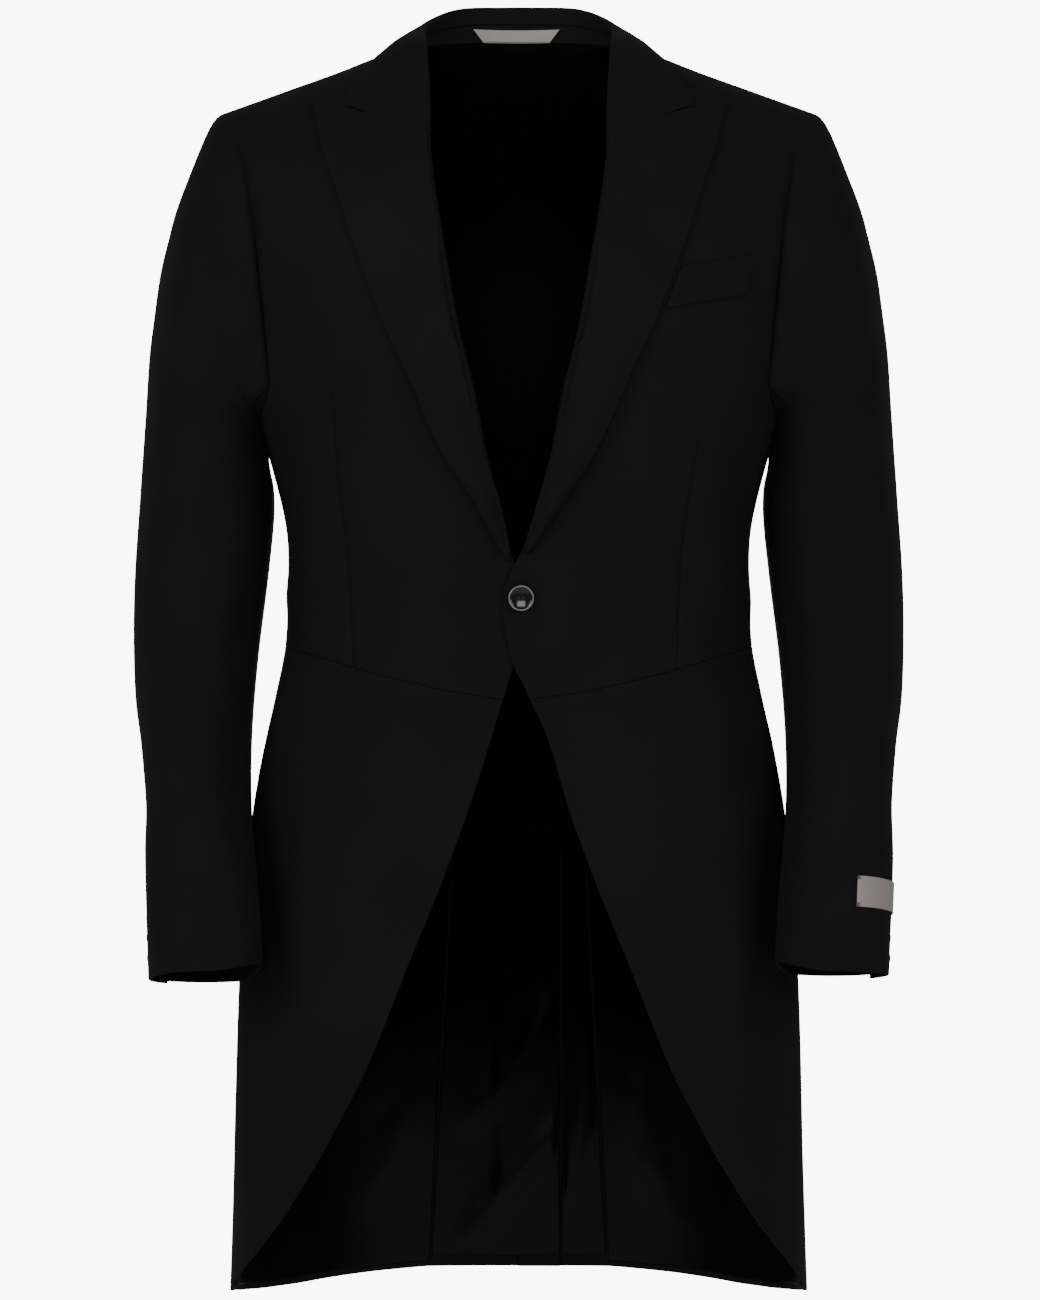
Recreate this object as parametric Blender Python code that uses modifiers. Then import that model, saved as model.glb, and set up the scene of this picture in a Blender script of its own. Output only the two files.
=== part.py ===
"""Black morning coat: a cutaway suit jacket with tails, standing as if worn.

Metres, +Z up, the front faces -Y and the wearer's left is +X. The origin is the middle of the
shoulders at the foot of the neck, where the wearer carries the coat.

The coat is one hollow form. A point of it is found from two numbers: phi, the turn round the
body (0 at the front middle, a quarter turn at the side, a half turn at the back middle), and w,
the height above the chest level, which runs on over the chest and blades to the shoulder ridge.
Each cloth piece is a patch of that form between its seams, given its wall with Solidify.
"""
import math

import bpy
import numpy as np
from mathutils import Vector

for old in list(bpy.data.objects):
    bpy.data.objects.remove(old)
coat = bpy.data.collections.new("morning_coat")
bpy.context.scene.collection.children.link(coat)

WALL = 0.002                # cloth with its interlining
LINING_WALL = 0.001
SEAM = 0.0004               # gap between two pieces at a seam, on the cloth's inner face
LIFT = 0.0004               # air between a piece and what it lies on

CHEST_Z = -0.220            # level of the fullest chest
RIDGE = 0.240               # length of the curve from the chest level up to the shoulder ridge
ROUNDNESS = 2.4             # exponent of the body's rings: 2 is an ellipse
RIDGE_Y = 0.004             # the shoulder seams lie this far behind the middle
NAPE_POWER = 2.2            # the back below the collar slopes instead of rounding over

LEFT = 1                    # the wearer's left is +X
RIGHT = -1


def table(names, *rows):
    """A short table: one name for each column, one row for each section."""
    return {name: np.array(column, float) for name, column in zip(names.split(), zip(*rows))}


BODY = table(
    "w half front back",
    (0.240, 0.285, 0.104, 0.108),     # shoulder ridge
    (0.120, 0.252, 0.120, 0.118),     # collar bones and blades
    (0.000, 0.216, 0.130, 0.119),     # chest
    (-0.060, 0.2055, 0.129, 0.113),   # under the arms
    (-0.110, 0.1915, 0.124, 0.102),
    (-0.160, 0.1805, 0.117, 0.092),   # waist
    (-0.200, 0.1798, 0.113, 0.088),
    (-0.250, 0.1825, 0.112, 0.090),   # waist seam
    (-0.280, 0.1885, 0.113, 0.095),
    (-0.330, 0.1985, 0.117, 0.104),   # hips
    (-0.380, 0.2065, 0.120, 0.110),
    (-0.480, 0.2155, 0.124, 0.116),
    (-0.600, 0.2205, 0.126, 0.120),
    (-0.750, 0.2255, 0.126, 0.127),   # hem
)

# The shoulder ridge: its height, and how far behind the middle the neckline lies on the back.
SHOULDER = table(
    "x z nape",
    (0.000, 0.0160, 0.0700),
    (0.030, 0.0150, 0.0670),
    (0.060, 0.0110, 0.0500),
    (0.078, 0.0065, 0.0260),
    (0.090, 0.0020, 0.0080),
    (0.113, -0.0065, 0.0040),
    (0.139, -0.0168, 0.0040),
    (0.175, -0.0298, 0.0040),
    (0.226, -0.0480, 0.0040),
    (0.290, -0.0700, 0.0040),
)

# Soft folds of the coat: the middle, width round and height of each, and how far it stands out.
FOLDS = table(
    "phi w spread_phi spread_w out",
    (1.30, -0.360, 0.12, 0.100, 0.0050),     # skirt hip spring
    (1.62, -0.620, 0.10, 0.200, -0.0045),    # side of the skirt
    (1.95, -0.640, 0.12, 0.200, 0.0050),
    (2.30, -0.620, 0.10, 0.180, -0.0040),
    (1.05, -0.560, 0.16, 0.130, -0.0035),    # behind the front edge
    (0.45, -0.215, 0.16, 0.030, 0.0030),     # drag beside the button
    (0.80, -0.175, 0.14, 0.035, -0.0025),
    (1.25, -0.130, 0.14, 0.040, 0.0035),     # under the arm
)

# Seams and edges of one side, as x and z seen from the front or the back.
NECK_EDGE = ((0.0880, 0.0100), (0.0872, -0.020), (0.0820, -0.046))
ROLL_LINE = ((0.0672, -0.0735), (0.0667, -0.0876), (0.0612, -0.1315), (0.0525, -0.183),
             (0.0450, -0.2253), (0.0330, -0.2737), (0.0232, -0.3243), (0.0128, -0.3621))
OVER_EDGE = ((0.0010, -0.3960), (-0.0075, -0.4129), (-0.0117, -0.4302), (-0.0120, -0.4453),
             (-0.0098, -0.4567), (-0.0068, -0.4718), (-0.0037, -0.4808), (0.0083, -0.5058))
UNDER_EDGE = ((0.0045, -0.3990), (-0.0050, -0.4129), (-0.0100, -0.4302), (-0.0100, -0.4453),
              (-0.0060, -0.4600), (-0.0010, -0.4718), (0.0037, -0.4808), (0.0120, -0.5058))
ARMHOLE_FRONT = ((0.2332, -0.0500), (0.2225, -0.067), (0.2165, -0.088), (0.2120, -0.115),
                 (0.2075, -0.145), (0.2040, -0.178), (0.2000, -0.212), (0.1975, -0.240),
                 (0.1955, -0.262))
ARMHOLE_BACK = ((0.2332, -0.0500), (0.2235, -0.069), (0.2140, -0.097), (0.2060, -0.135),
                (0.1990, -0.175))
BACK_SCYE = ((0.1990, -0.175), (0.2000, -0.215), (0.2010, -0.248))
SIDEBODY_SEAM = ((0.1990, -0.175), (0.1600, -0.228), (0.1220, -0.290), (0.0880, -0.355),
                 (0.0640, -0.415), (0.0520, -0.462))
TAIL_SEAM = ((0.0520, -0.462), (0.0500, -0.500), (0.0530, -0.580), (0.0590, -0.700),
             (0.0660, -0.820), (0.0740, -0.965))
WAIST_FRONT = ((0.0350, -0.502), (0.0540, -0.499), (0.0790, -0.4935), (0.1040, -0.4875),
               (0.1270, -0.4815), (0.1500, -0.4745), (0.1700, -0.469))
CUTAWAY = ((0.0175, -0.524), (0.0407, -0.5962), (0.0535, -0.631), (0.0665, -0.664),
           (0.0800, -0.6965), (0.0930, -0.729), (0.1065, -0.7632), (0.1195, -0.7931),
           (0.1343, -0.8214), (0.1488, -0.8489), (0.1672, -0.8795), (0.1860, -0.9078),
           (0.2030, -0.930), (0.2160, -0.948), (0.2205, -0.956))
LAPEL_EDGE = ((0.1597, -0.0483), (0.1555, -0.064), (0.1490, -0.0905), (0.1400, -0.114),
              (0.1275, -0.155), (0.1148, -0.189), (0.1007, -0.2246), (0.0788, -0.2708),
              (0.0538, -0.3239), (0.0363, -0.3497), (0.0170, -0.378), (0.0085, -0.388))
GORGE = ((0.0672, -0.0735), (0.1128, -0.0611), (0.1365, -0.0527), (0.1597, -0.0483))

SIDE_SEAM_PHI = 1.38        # the side seam of the forepart, just in front of the side
UNDERARM_Z = -0.285         # lowest point of the armhole
WAIST_SIDE_Z = -0.466       # the waist seam at the side seam
HEM_Z = -0.965
VENT_TOP_Z = -0.475
VENT_UNDERLAP = 0.0336      # the wearer's right tail runs this far behind the left one

# The collar from its front end (0) to the middle of the back (1): the fold, the outer edge of
# the fall, and the foot of the stand.
COLLAR = table(
    "u roll_x roll_y roll_z edge_x edge_y edge_z foot_x foot_y foot_z",
    (0.00, 0.0680, -0.0919, -0.0720, 0.1358, -0.0580, -0.0500, 0.0690, -0.0880, -0.0725),
    (0.25, 0.0700, -0.0685, -0.0353, 0.1214, -0.0358, -0.0235, 0.0808, -0.0652, -0.0405),
    (0.42, 0.0724, -0.0320, 0.0010, 0.1075, -0.0110, -0.0058, 0.0858, -0.0366, -0.0136),
    (0.55, 0.0740, 0.0040, 0.0140, 0.1010, 0.0080, -0.0008, 0.0872, 0.0040, 0.0015),
    (0.70, 0.0690, 0.0370, 0.0270, 0.0865, 0.0390, -0.0015, 0.0753, 0.0283, 0.0060),
    (0.85, 0.0445, 0.0640, 0.0400, 0.0573, 0.0748, -0.0015, 0.0455, 0.0583, 0.0120),
    (1.00, 0.0000, 0.0735, 0.0427, 0.0000, 0.0895, -0.0033, 0.0000, 0.0694, 0.0145),
)

# The sleeve from the armhole to the cuff: the outer and inner end of each ring, its middle
# and half depth from front to back, and how much lower its back is than its front.
SLEEVE = table(
    "ring outer_x outer_z inner_x inner_z middle depth slant",
    (1, 0.2400, -0.0505, 0.2075, -0.2895, 0.002, 0.056, 0.000),    # roped sleeve head
    (2, 0.2490, -0.0770, 0.2085, -0.296, 0.002, 0.063, 0.000),
    (3, 0.2600, -0.1050, 0.2085, -0.304, 0.002, 0.067, 0.000),
    (4, 0.2715, -0.1390, 0.2070, -0.312, 0.002, 0.070, 0.000),
    (5, 0.2808, -0.1750, 0.2055, -0.318, 0.002, 0.072, 0.000),
    (6, 0.2870, -0.2250, 0.2025, -0.329, 0.003, 0.073, 0.000),
    (7, 0.2910, -0.2850, 0.1995, -0.344, 0.004, 0.072, 0.000),
    (8, 0.2955, -0.3500, 0.1985, -0.368, 0.004, 0.070, 0.000),
    (9, 0.2995, -0.4150, 0.2010, -0.415, 0.001, 0.066, 0.004),     # elbow
    (10, 0.2990, -0.4750, 0.2045, -0.475, -0.012, 0.062, 0.008),
    (11, 0.2945, -0.5350, 0.2060, -0.535, -0.032, 0.057, 0.010),
    (12, 0.2880, -0.5950, 0.2040, -0.595, -0.056, 0.052, 0.010),
    (13, 0.2845, -0.6550, 0.1980, -0.655, -0.078, 0.047, 0.009),
    (14, 0.2812, -0.7160, 0.1945, -0.7155, -0.096, 0.043, 0.0065),  # cuff
)
RINGS = 14
FOREARM_SEAM = 2.60         # the inner front seam of the sleeve, as a turn from its outer side
HINDARM_TOP = -1.75         # the back seam leaves the armhole here
HINDARM_CUFF = -0.75        # and ends here, on the outer back of the cuff
SLEEVE_CREASES = table(
    "turn ring spread_turn spread_ring out",
    (1.60, 8.4, 0.50, 0.45, -0.0040),      # inside of the elbow
    (1.90, 9.3, 0.45, 0.40, 0.0035),
    (-1.2, 9.0, 0.70, 0.60, 0.0030),
    (0.50, 5.0, 0.50, 0.90, -0.0030),      # below the sleeve head
    (0.10, 11.5, 0.55, 0.60, -0.0025),
)

FRONT_BUTTON = dict(x=0.0019, z=-0.4286, radius=0.0100, thick=0.0042)
BACK_BUTTON = dict(radius=0.0090, thick=0.0040, in_phi=0.030, down=0.006)
SMALL_BUTTON = dict(radius=0.0070, thick=0.0034)
FRONT_BUTTON_STEPS = 28
CUFF_BUTTON_RINGS = (13.25, 13.50, 13.75)
CUFF_BUTTON_TURN = 0.30     # from the back seam towards the outer side
LABEL_WALL = 0.0006
NECK_LABEL = dict(top=0.0345, low=0.0262, shift=-0.0018, top_z=0.0240, low_z=0.0135, lift=0.0024)
SLEEVE_LABEL = dict(high=12.87, low=13.24, start=1.25, end=-0.35, lift=0.0006)

# The edges that two pieces share are sampled once, so that both bend at the same places.
SHOULDER_STEPS = 10
NECK_STEPS = 3
ROLL_STEPS = 8
FRONT_STEPS = 5
ARM_STEPS = 8
UNDERARM_STEPS = 2
SIDE_STEPS = 6
SCYE_STEPS = 6
ARM_BACK_STEPS = 5
TAIL_STEPS = 13
WAIST_FRONT_STEPS = 10
WAIST_BACK_STEPS = 6
BACK_NECK_STEPS = 3
BACK_SHOULDER_STEPS = 5
LAPEL_STEPS = 13
NECK_POINT = 0.0880         # where the shoulder seam meets the neck
SHOULDER_POINT = 0.2332     # and where it meets the sleeve

RING_STOPS = (0, 0.5, 1, 2, 3, 4, 5, 6.2, 7.4, 8.2, 9, 9.8, 11, 12, 13, 14)
TOP_SLEEVE_STEPS = 13
UNDER_SLEEVE_STEPS = 7
UNDERARM_EASE = 0.0015      # the sleeve's seams open a little where they turn under the arm
LINING_OUT = -(LINING_WALL + LIFT)
SKIRT_LINING_OUT = -0.0030  # it hangs a little looser than the others
BACK_LINING_SLACK = -0.0020
UNDERLAP_OUT = -(WALL + LIFT)
TUCK = 0.0030               # the wearer's right front lies this far behind the left one
WELT_WALL = 0.0012


def read(tab, name, at, key):
    """The value of a column at any place: cubic pieces with the table's own slopes."""
    x, y = tab[key], tab[name]
    if x[0] > x[-1]:
        x, y = x[::-1], y[::-1]
    slope = np.gradient(y, x)
    at = np.clip(np.asarray(at, float), x[0], x[-1])
    i = np.clip(np.searchsorted(x, at, side="right") - 1, 0, len(x) - 2)
    h = x[i + 1] - x[i]
    t = (at - x[i]) / h
    return ((2 * t ** 3 - 3 * t ** 2 + 1) * y[i] + (t ** 3 - 2 * t ** 2 + t) * h * slope[i]
            + (3 * t ** 2 - 2 * t ** 3) * y[i + 1] + (t ** 3 - t ** 2) * h * slope[i + 1])


def soft_step(start, end, at):
    """0 before start, 1 past end, and an even change between them."""
    t = np.clip((np.asarray(at, float) - start) / (end - start), 0.0, 1.0)
    return t * t * (3 - 2 * t)


def smooth(points, count):
    """A curve through the points, as evenly spaced points along its length."""
    points = np.array(points, float)
    scale = np.array([0.2, 1.0]) if points.shape[1] == 2 else np.ones(3)
    step = np.linalg.norm(np.diff(points * scale, axis=0), axis=1)
    along = {"s": np.concatenate([[0.0], np.cumsum(step)])}
    for k in range(points.shape[1]):
        along[str(k)] = points[:, k]
    places = np.linspace(0.0, along["s"][-1], count)
    return np.stack([read(along, str(k), places, "s") for k in range(points.shape[1])], axis=1)


def chain(*pieces):
    """Several edges end to end, each given with its own points."""
    return np.concatenate([pieces[0]] + [piece[1:] for piece in pieces[1:]])


def body(phi, w):
    """A point on the inner face of the coat's cloth."""
    phi, w = np.broadcast_arrays(np.asarray(phi, float), np.asarray(w, float))
    turn, lean = np.sin(phi), np.cos(phi)
    power = 2.0 / ROUNDNESS
    half = read(BODY, "half", w, "w") - WALL
    x = half * np.sign(turn) * np.abs(turn) ** power
    rise = np.clip(w / RIDGE, 0.0, 1.0) * math.pi / 2
    top = read(SHOULDER, "z", np.abs(x), "x") - WALL
    nape = read(SHOULDER, "nape", np.abs(x), "x")
    z = np.where(w > 0.0, CHEST_Z + (top - CHEST_Z) * np.sin(rise), CHEST_Z + w)
    flat = np.abs(lean) ** power
    front = -(read(BODY, "front", w, "w") - WALL) * flat
    back = (read(BODY, "back", w, "w") - WALL) * flat
    seat = np.where(lean < 0.0, nape, RIDGE_Y)
    far = np.where(lean < 0.0, back, front)
    near_neck = np.where(lean < 0.0, soft_step(0.105, 0.050, np.abs(x)), 0.0)
    drop = (1 - near_neck) * np.cos(rise) + near_neck * (1 - np.sin(rise) ** NAPE_POWER)
    y = np.where(w > 0.0, seat + (far - seat) * drop, far)
    return np.stack([x, y, z], axis=-1)


def unroll(x, z, behind=False):
    """The phi and w of the point seen at x, z from the front, or from behind."""
    x, z = np.asarray(x, float), np.asarray(z, float)
    top = read(SHOULDER, "z", np.abs(x), "x")
    reach = np.clip((z - CHEST_Z) / (top - CHEST_Z), 0.0, 1.0)
    w = np.where(z > CHEST_Z, np.arcsin(reach) / (math.pi / 2) * RIDGE, z - CHEST_Z)
    ratio = np.clip(np.abs(x) / read(BODY, "half", w, "w"), 0.0, 1.0)
    phi = np.sign(x) * np.arcsin(ratio ** (ROUNDNESS / 2.0))
    return np.stack([math.pi - phi if behind else phi, w], axis=-1)


def seam(points, behind=False):
    points = np.array(points, float)
    return unroll(points[:, 0], points[:, 1], behind)


def normals(grid):
    """Unit normals of a grid of points, from its own rows and columns."""
    n = np.cross(np.gradient(grid, axis=1), np.gradient(grid, axis=0))
    return n / np.maximum(np.linalg.norm(n, axis=-1, keepdims=True), 1e-9)


def faces_out(grid):
    """Whether the grid's own normals point away from the upright axis of the hollow."""
    i, j = grid.shape[0] // 2, grid.shape[1] // 2
    return float(np.dot(normals(grid)[i, j], [grid[i, j, 0], grid[i, j, 1], 0.0])) > 0.0


def outward(grid):
    return normals(grid) if faces_out(grid) else -normals(grid)


def fold_depth(phi, w):
    """How far the soft folds push the cloth out, the same on both sides."""
    out = np.zeros(np.broadcast(phi, w).shape)
    turn = np.abs(half_turns(phi))
    for k in range(len(FOLDS["phi"])):
        a = (turn - FOLDS["phi"][k]) / FOLDS["spread_phi"][k]
        b = (w - FOLDS["w"][k]) / FOLDS["spread_w"][k]
        out = out + FOLDS["out"][k] * np.exp(-a ** 2 - b ** 2)
    return out


def coons(top, bottom, start, end):
    """A grid of phi and w between four edges: start and end run down, top and bottom across."""
    s = np.linspace(0, 1, len(top))[None, :, None]
    t = np.linspace(0, 1, len(start))[:, None, None]
    ruled = (1 - t) * top[None] + t * bottom[None] + (1 - s) * start[:, None] + s * end[:, None]
    corners = ((1 - s) * (1 - t) * top[0] + s * (1 - t) * top[-1]
               + (1 - s) * t * bottom[0] + s * t * bottom[-1])
    return ruled - corners


def inset(grid, side_gap=SEAM / 2):
    """Draw the four edges of a piece back by half the seam gap."""
    for edge, inner in ((0, 1), (-1, -2)):
        step = grid[inner] - grid[edge]
        grid[edge] += SEAM / 2 * step / np.linalg.norm(step, axis=-1, keepdims=True)
        step = grid[:, inner] - grid[:, edge]
        grid[:, edge] += side_gap * step / np.linalg.norm(step, axis=-1, keepdims=True)
    return grid


def on_body(patch, out=0.0):
    """Points of a phi and w patch, moved out from the cloth's inner face."""
    phi, w = patch[..., 0], patch[..., 1]
    grid = body(phi, w)
    return grid + outward(grid) * (fold_depth(phi, w) + out)[..., None]


def mirrored(grid, side):
    return grid * np.array([side, 1.0, 1.0])


def material(name, colour, roughness, metallic=0.0):
    found = bpy.data.materials.get(name)
    if found:
        return found
    made = bpy.data.materials.new(name)
    made.use_nodes = True
    shader = made.node_tree.nodes["Principled BSDF"]
    shader.inputs["Base Color"].default_value = (*colour, 1.0)
    shader.inputs["Roughness"].default_value = roughness
    shader.inputs["Metallic"].default_value = metallic
    return made


def cloth(name, grid, thickness, look):
    """A wall of cloth on a grid whose faces point away from the hollow."""
    rows, columns = grid.shape[:2]
    number = np.arange(rows * columns).reshape(rows, columns)
    a, b = number[:-1, :-1].ravel(), number[:-1, 1:].ravel()
    c, d = number[1:, 1:].ravel(), number[1:, :-1].ravel()
    faces = np.stack([a, b, c, d], axis=1)
    mesh = bpy.data.meshes.new(name)
    mesh.from_pydata(grid.reshape(-1, 3).tolist(), [], faces.tolist())
    mesh.update()
    made = bpy.data.objects.new(name, mesh)
    coat.objects.link(made)
    made.data.materials.append(look)
    mesh.shade_smooth()
    wall = made.modifiers.new("Wall", "SOLIDIFY")
    wall.thickness = thickness
    wall.offset = 1.0
    wall.use_even_offset = False
    return made


def panel(name, patch, side, look, out=0.0, thickness=WALL):
    grid = inset(mirrored(on_body(patch, out), side))
    return cloth(name, grid if faces_out(grid) else grid[:, ::-1], thickness, look)


def turned(name, profile, place, direction, look, steps=12):
    """A button: a profile turned about its own axis, which then points along direction."""
    mesh = bpy.data.meshes.new(name)
    edges = [(i, i + 1) for i in range(len(profile) - 1)]
    mesh.from_pydata([(r, 0.0, z) for r, z in profile], edges, [])
    made = bpy.data.objects.new(name, mesh)
    coat.objects.link(made)
    made.data.materials.append(look)
    screw = made.modifiers.new("Turn", "SCREW")
    screw.steps = steps
    screw.render_steps = steps
    screw.use_merge_vertices = True
    screw.merge_threshold = 0.00005
    made.location = place
    made.rotation_mode = "QUATERNION"
    made.rotation_quaternion = direction.to_track_quat("Z", "Y")
    return made


def level(z):
    return z - CHEST_Z


def ridge_run(xs, behind=False):
    """Points on the shoulder ridge, or on the back's neckline where x is small."""
    return seam([(x, 1.0) for x in xs], behind)


def fold_size(z):
    """The fold of the lapel is smaller near its lower end."""
    return 1.0 - 0.55 * soft_step(-0.320, -0.385, z)


def beside_roll(points, reach):
    """The roll line moved outboard by a share of the fold's size."""
    points = np.array(points, float)
    points[:, 0] += reach * fold_size(points[:, 1])
    return points


WAIST_SIDE = (SIDE_SEAM_PHI, level(WAIST_SIDE_Z))
UNDERARM = (SIDE_SEAM_PHI, level(UNDERARM_Z))
UNDERARM_TURN = (1.275, level(UNDERARM_Z) + 0.008)

SIDE_RUN = smooth([UNDERARM, WAIST_SIDE], SIDE_STEPS + 1)
ARM_RUN = smooth(seam(ARMHOLE_FRONT), ARM_STEPS + 1)
ARM_TURN_RUN = smooth([ARM_RUN[-1], UNDERARM_TURN, UNDERARM], UNDERARM_STEPS + 1)
ARM_BACK_RUN = smooth(seam(ARMHOLE_BACK, behind=True), ARM_BACK_STEPS + 1)
SCYE_RUN = smooth(np.vstack([[UNDERARM], [(math.pi / 2, level(UNDERARM_Z) - 0.002)],
                             seam(BACK_SCYE[::-1], behind=True)]), SCYE_STEPS + 1)
SIDEBODY_RUN = smooth(seam(SIDEBODY_SEAM, behind=True), SIDE_STEPS + 1)
TAIL_RUN = smooth(seam(TAIL_SEAM, behind=True), TAIL_STEPS + 1)
WAIST_BACK_RUN = smooth([WAIST_SIDE, (2.0, WAIST_SIDE[1] + 0.003), SIDEBODY_RUN[-1]],
                        WAIST_BACK_STEPS + 1)


def waist_front_run(edge):
    start = seam(edge[-1:])
    return smooth(np.vstack([start, seam(WAIST_FRONT), [WAIST_SIDE]]), WAIST_FRONT_STEPS + 1)


def forepart_patch(edge):
    """From the shoulder seam to the waist seam, and from the lapel's roll to the side seam."""
    roll = smooth(seam(beside_roll(ROLL_LINE, 0.0029)), ROLL_STEPS + 1)
    neck = smooth(np.vstack([seam(NECK_EDGE), roll[:1]]), NECK_STEPS + 1)
    front = smooth(np.vstack([roll[-1:], seam(edge)]), FRONT_STEPS + 1)
    shoulder = smooth(ridge_run((NECK_POINT, 0.110, 0.140, 0.170, 0.200, SHOULDER_POINT)),
                      SHOULDER_STEPS + 1)
    return coons(shoulder, waist_front_run(edge), chain(neck, roll, front),
                 chain(ARM_RUN, ARM_TURN_RUN, SIDE_RUN))


def side_body_patch():
    """Under the arm, from the side seam to the seam of the back."""
    return coons(SCYE_RUN, WAIST_BACK_RUN, SIDE_RUN, SIDEBODY_RUN)


def skirt_patch(edge):
    """The coat's skirt in one piece, from the cutaway edge round to the tail seam."""
    waist = chain(waist_front_run(edge), WAIST_BACK_RUN)
    front = smooth(np.vstack([waist[:1], seam(CUTAWAY)]), TAIL_STEPS + 1)
    low = level(HEM_Z)
    hem = smooth(np.vstack([front[-1:], [(1.42, low + 0.0015), (math.pi / 2, low), (2.2, low)],
                            TAIL_RUN[-1:]]), len(waist))
    return coons(waist, hem, front, TAIL_RUN)


def back_patch():
    """One half of the back with its tail, from the neck to the hem."""
    nape = smooth(ridge_run((0.0, 0.030, 0.060, NECK_POINT), True), BACK_NECK_STEPS + 1)
    shoulder = smooth(ridge_run((NECK_POINT, 0.110, 0.140, 0.170, 0.200, SHOULDER_POINT), True),
                      BACK_SHOULDER_STEPS + 1)
    side = chain(ARM_BACK_RUN, SIDEBODY_RUN, TAIL_RUN)
    centre = np.stack([np.full(len(side), math.pi), side[:, 1]], axis=1)
    hem = smooth([centre[-1], side[-1]], BACK_NECK_STEPS + BACK_SHOULDER_STEPS + 1)
    return coons(chain(nape, shoulder), hem, centre, side)


def tuck(patch, side):
    """How far the wearer's right front is tucked in behind the left one, round the button."""
    at = body(patch[..., 0], patch[..., 1])
    near = soft_step(0.055, 0.017, at[..., 0])
    high = soft_step(-0.372, -0.397, at[..., 2]) * soft_step(-0.545, -0.486, at[..., 2])
    return -TUCK * near * high if side == RIGHT else np.zeros(near.shape)


def lapel_grid(side):
    """The lapel turned back over the forepart, from its fold to its free edge."""
    end = (0.0068, -0.3850)
    roll = np.vstack([ROLL_LINE, [end]])
    outer = smooth(seam(LAPEL_EDGE), LAPEL_STEPS + 1)
    inner = smooth(seam(beside_roll(roll, 0.0045)), LAPEL_STEPS + 1)
    fold = smooth(seam(beside_roll(roll, 0.0023)), LAPEL_STEPS + 1)
    gorge = smooth(np.vstack([inner[:1], seam(GORGE[1:])]), 8)
    foot = smooth([inner[-1], outer[-1]], 8)
    patch = coons(gorge, foot, inner, outer)
    across = np.linspace(0, 1, 8)[None, :]
    z = body(patch[..., 0], patch[..., 1])[..., 2]
    loose = soft_step(-0.200, -0.320, z) * soft_step(-0.388, -0.360, z)
    free_edge = WALL + 0.0010 + 0.0045 * loose
    bow = (0.0016 + 0.0025 * loose) * np.sin(math.pi * across)
    out = 0.0040 * (1 - across) + free_edge * across + bow
    root_line = smooth(seam(beside_roll(roll, 0.0020)), LAPEL_STEPS + 1)
    patch = np.concatenate([root_line[:, None], fold[:, None], patch], axis=1)
    root = (0.0026 * soft_step(-0.335, -0.370, z[:, :1]))
    out = np.concatenate([root, root * 0.4 + 0.0024, out], axis=1)
    return mirrored(on_body(patch, out), side)


def collar_grid():
    """Foot of the stand, up to the fold and down the fall; from gorge to gorge round the neck."""
    count = 15
    u = np.linspace(0.0, 1.0, count)
    spot = {part: np.stack([read(COLLAR, part + axis, u, "u") for axis in ("_x", "_y", "_z")],
                           axis=1) for part in ("roll", "edge", "foot")}
    spot["roll"][-1, 0] = spot["edge"][-1, 0] = spot["foot"][-1, 0] = 0.0
    rise = spot["roll"] - spot["foot"]
    fall = spot["edge"] - spot["roll"]
    along = np.gradient(spot["roll"], axis=0)
    swell = np.cross(fall, along)
    swell /= np.linalg.norm(swell, axis=1, keepdims=True)
    swell *= np.where(np.sum(swell * np.array([0.5, 0.0, 1.0]), axis=1) < 0, -1.0, 1.0)[:, None]
    lean = 0.0012 * np.stack([np.ones(count), np.zeros(count), np.zeros(count)], axis=1)
    columns = [spot["foot"], spot["foot"] + 0.5 * rise - 0.3 * lean,
               spot["roll"] - 0.06 * rise - 0.4 * lean, spot["roll"] + 0.4 * lean + 0.02 * fall]
    gorge = gorge_spots()
    for k, t in enumerate((0.12, 0.34, 0.56, 0.78, 1.0)):
        arc = 4 * t * (1 - t) * (0.0034 + 0.0012 * soft_step(0.2, 0.7, u))[:, None]
        straight = spot["roll"] + fall * t + swell * arc
        shift = gorge[k] - straight[0]
        columns.append(straight + shift * soft_step(0.30, 0.0, u)[:, None])
    half = np.stack(columns, axis=1)
    return np.concatenate([half, mirrored(half[-2::-1], RIGHT)], axis=0)


def gorge_spots():
    """Where the front end of the fall lies: along the lapel's upper edge, a hair above it."""
    line = smooth(seam(GORGE[:3]), 61)
    places = body(line[:, 0], line[:, 1])
    push = outward(np.stack([places, body(line[:, 0], line[:, 1] + 0.002)], axis=0))[0]
    out = np.linspace(0.0046, WALL + LIFT, 61)[:, None]
    raised = places + push * out + np.array([0.0, 0.0, 0.0014])
    return raised[[9, 21, 34, 47, 60]]


def ellipse_ring(ring, turn):
    """A point of the sleeve's inner face: turn 0 is the outer side, a quarter turn the front."""
    value = {name: read(SLEEVE, name, ring, "ring") for name in SLEEVE if name != "ring"}
    shoulder_wall = WALL * soft_step(6, 1, ring)
    outer = np.stack([value["outer_x"] - WALL, value["outer_z"] - shoulder_wall], axis=-1)
    inner = np.stack([value["inner_x"] + WALL, value["inner_z"]], axis=-1)
    centre, reach = (outer + inner) / 2, (outer - inner) / 2
    x = centre[..., 0] + reach[..., 0] * np.cos(turn)
    z = centre[..., 1] + reach[..., 1] * np.cos(turn) + value["slant"] * np.sin(turn)
    y = value["middle"] - (value["depth"] - WALL) * np.sin(turn)
    return np.stack([x, y, z], axis=-1)


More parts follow.
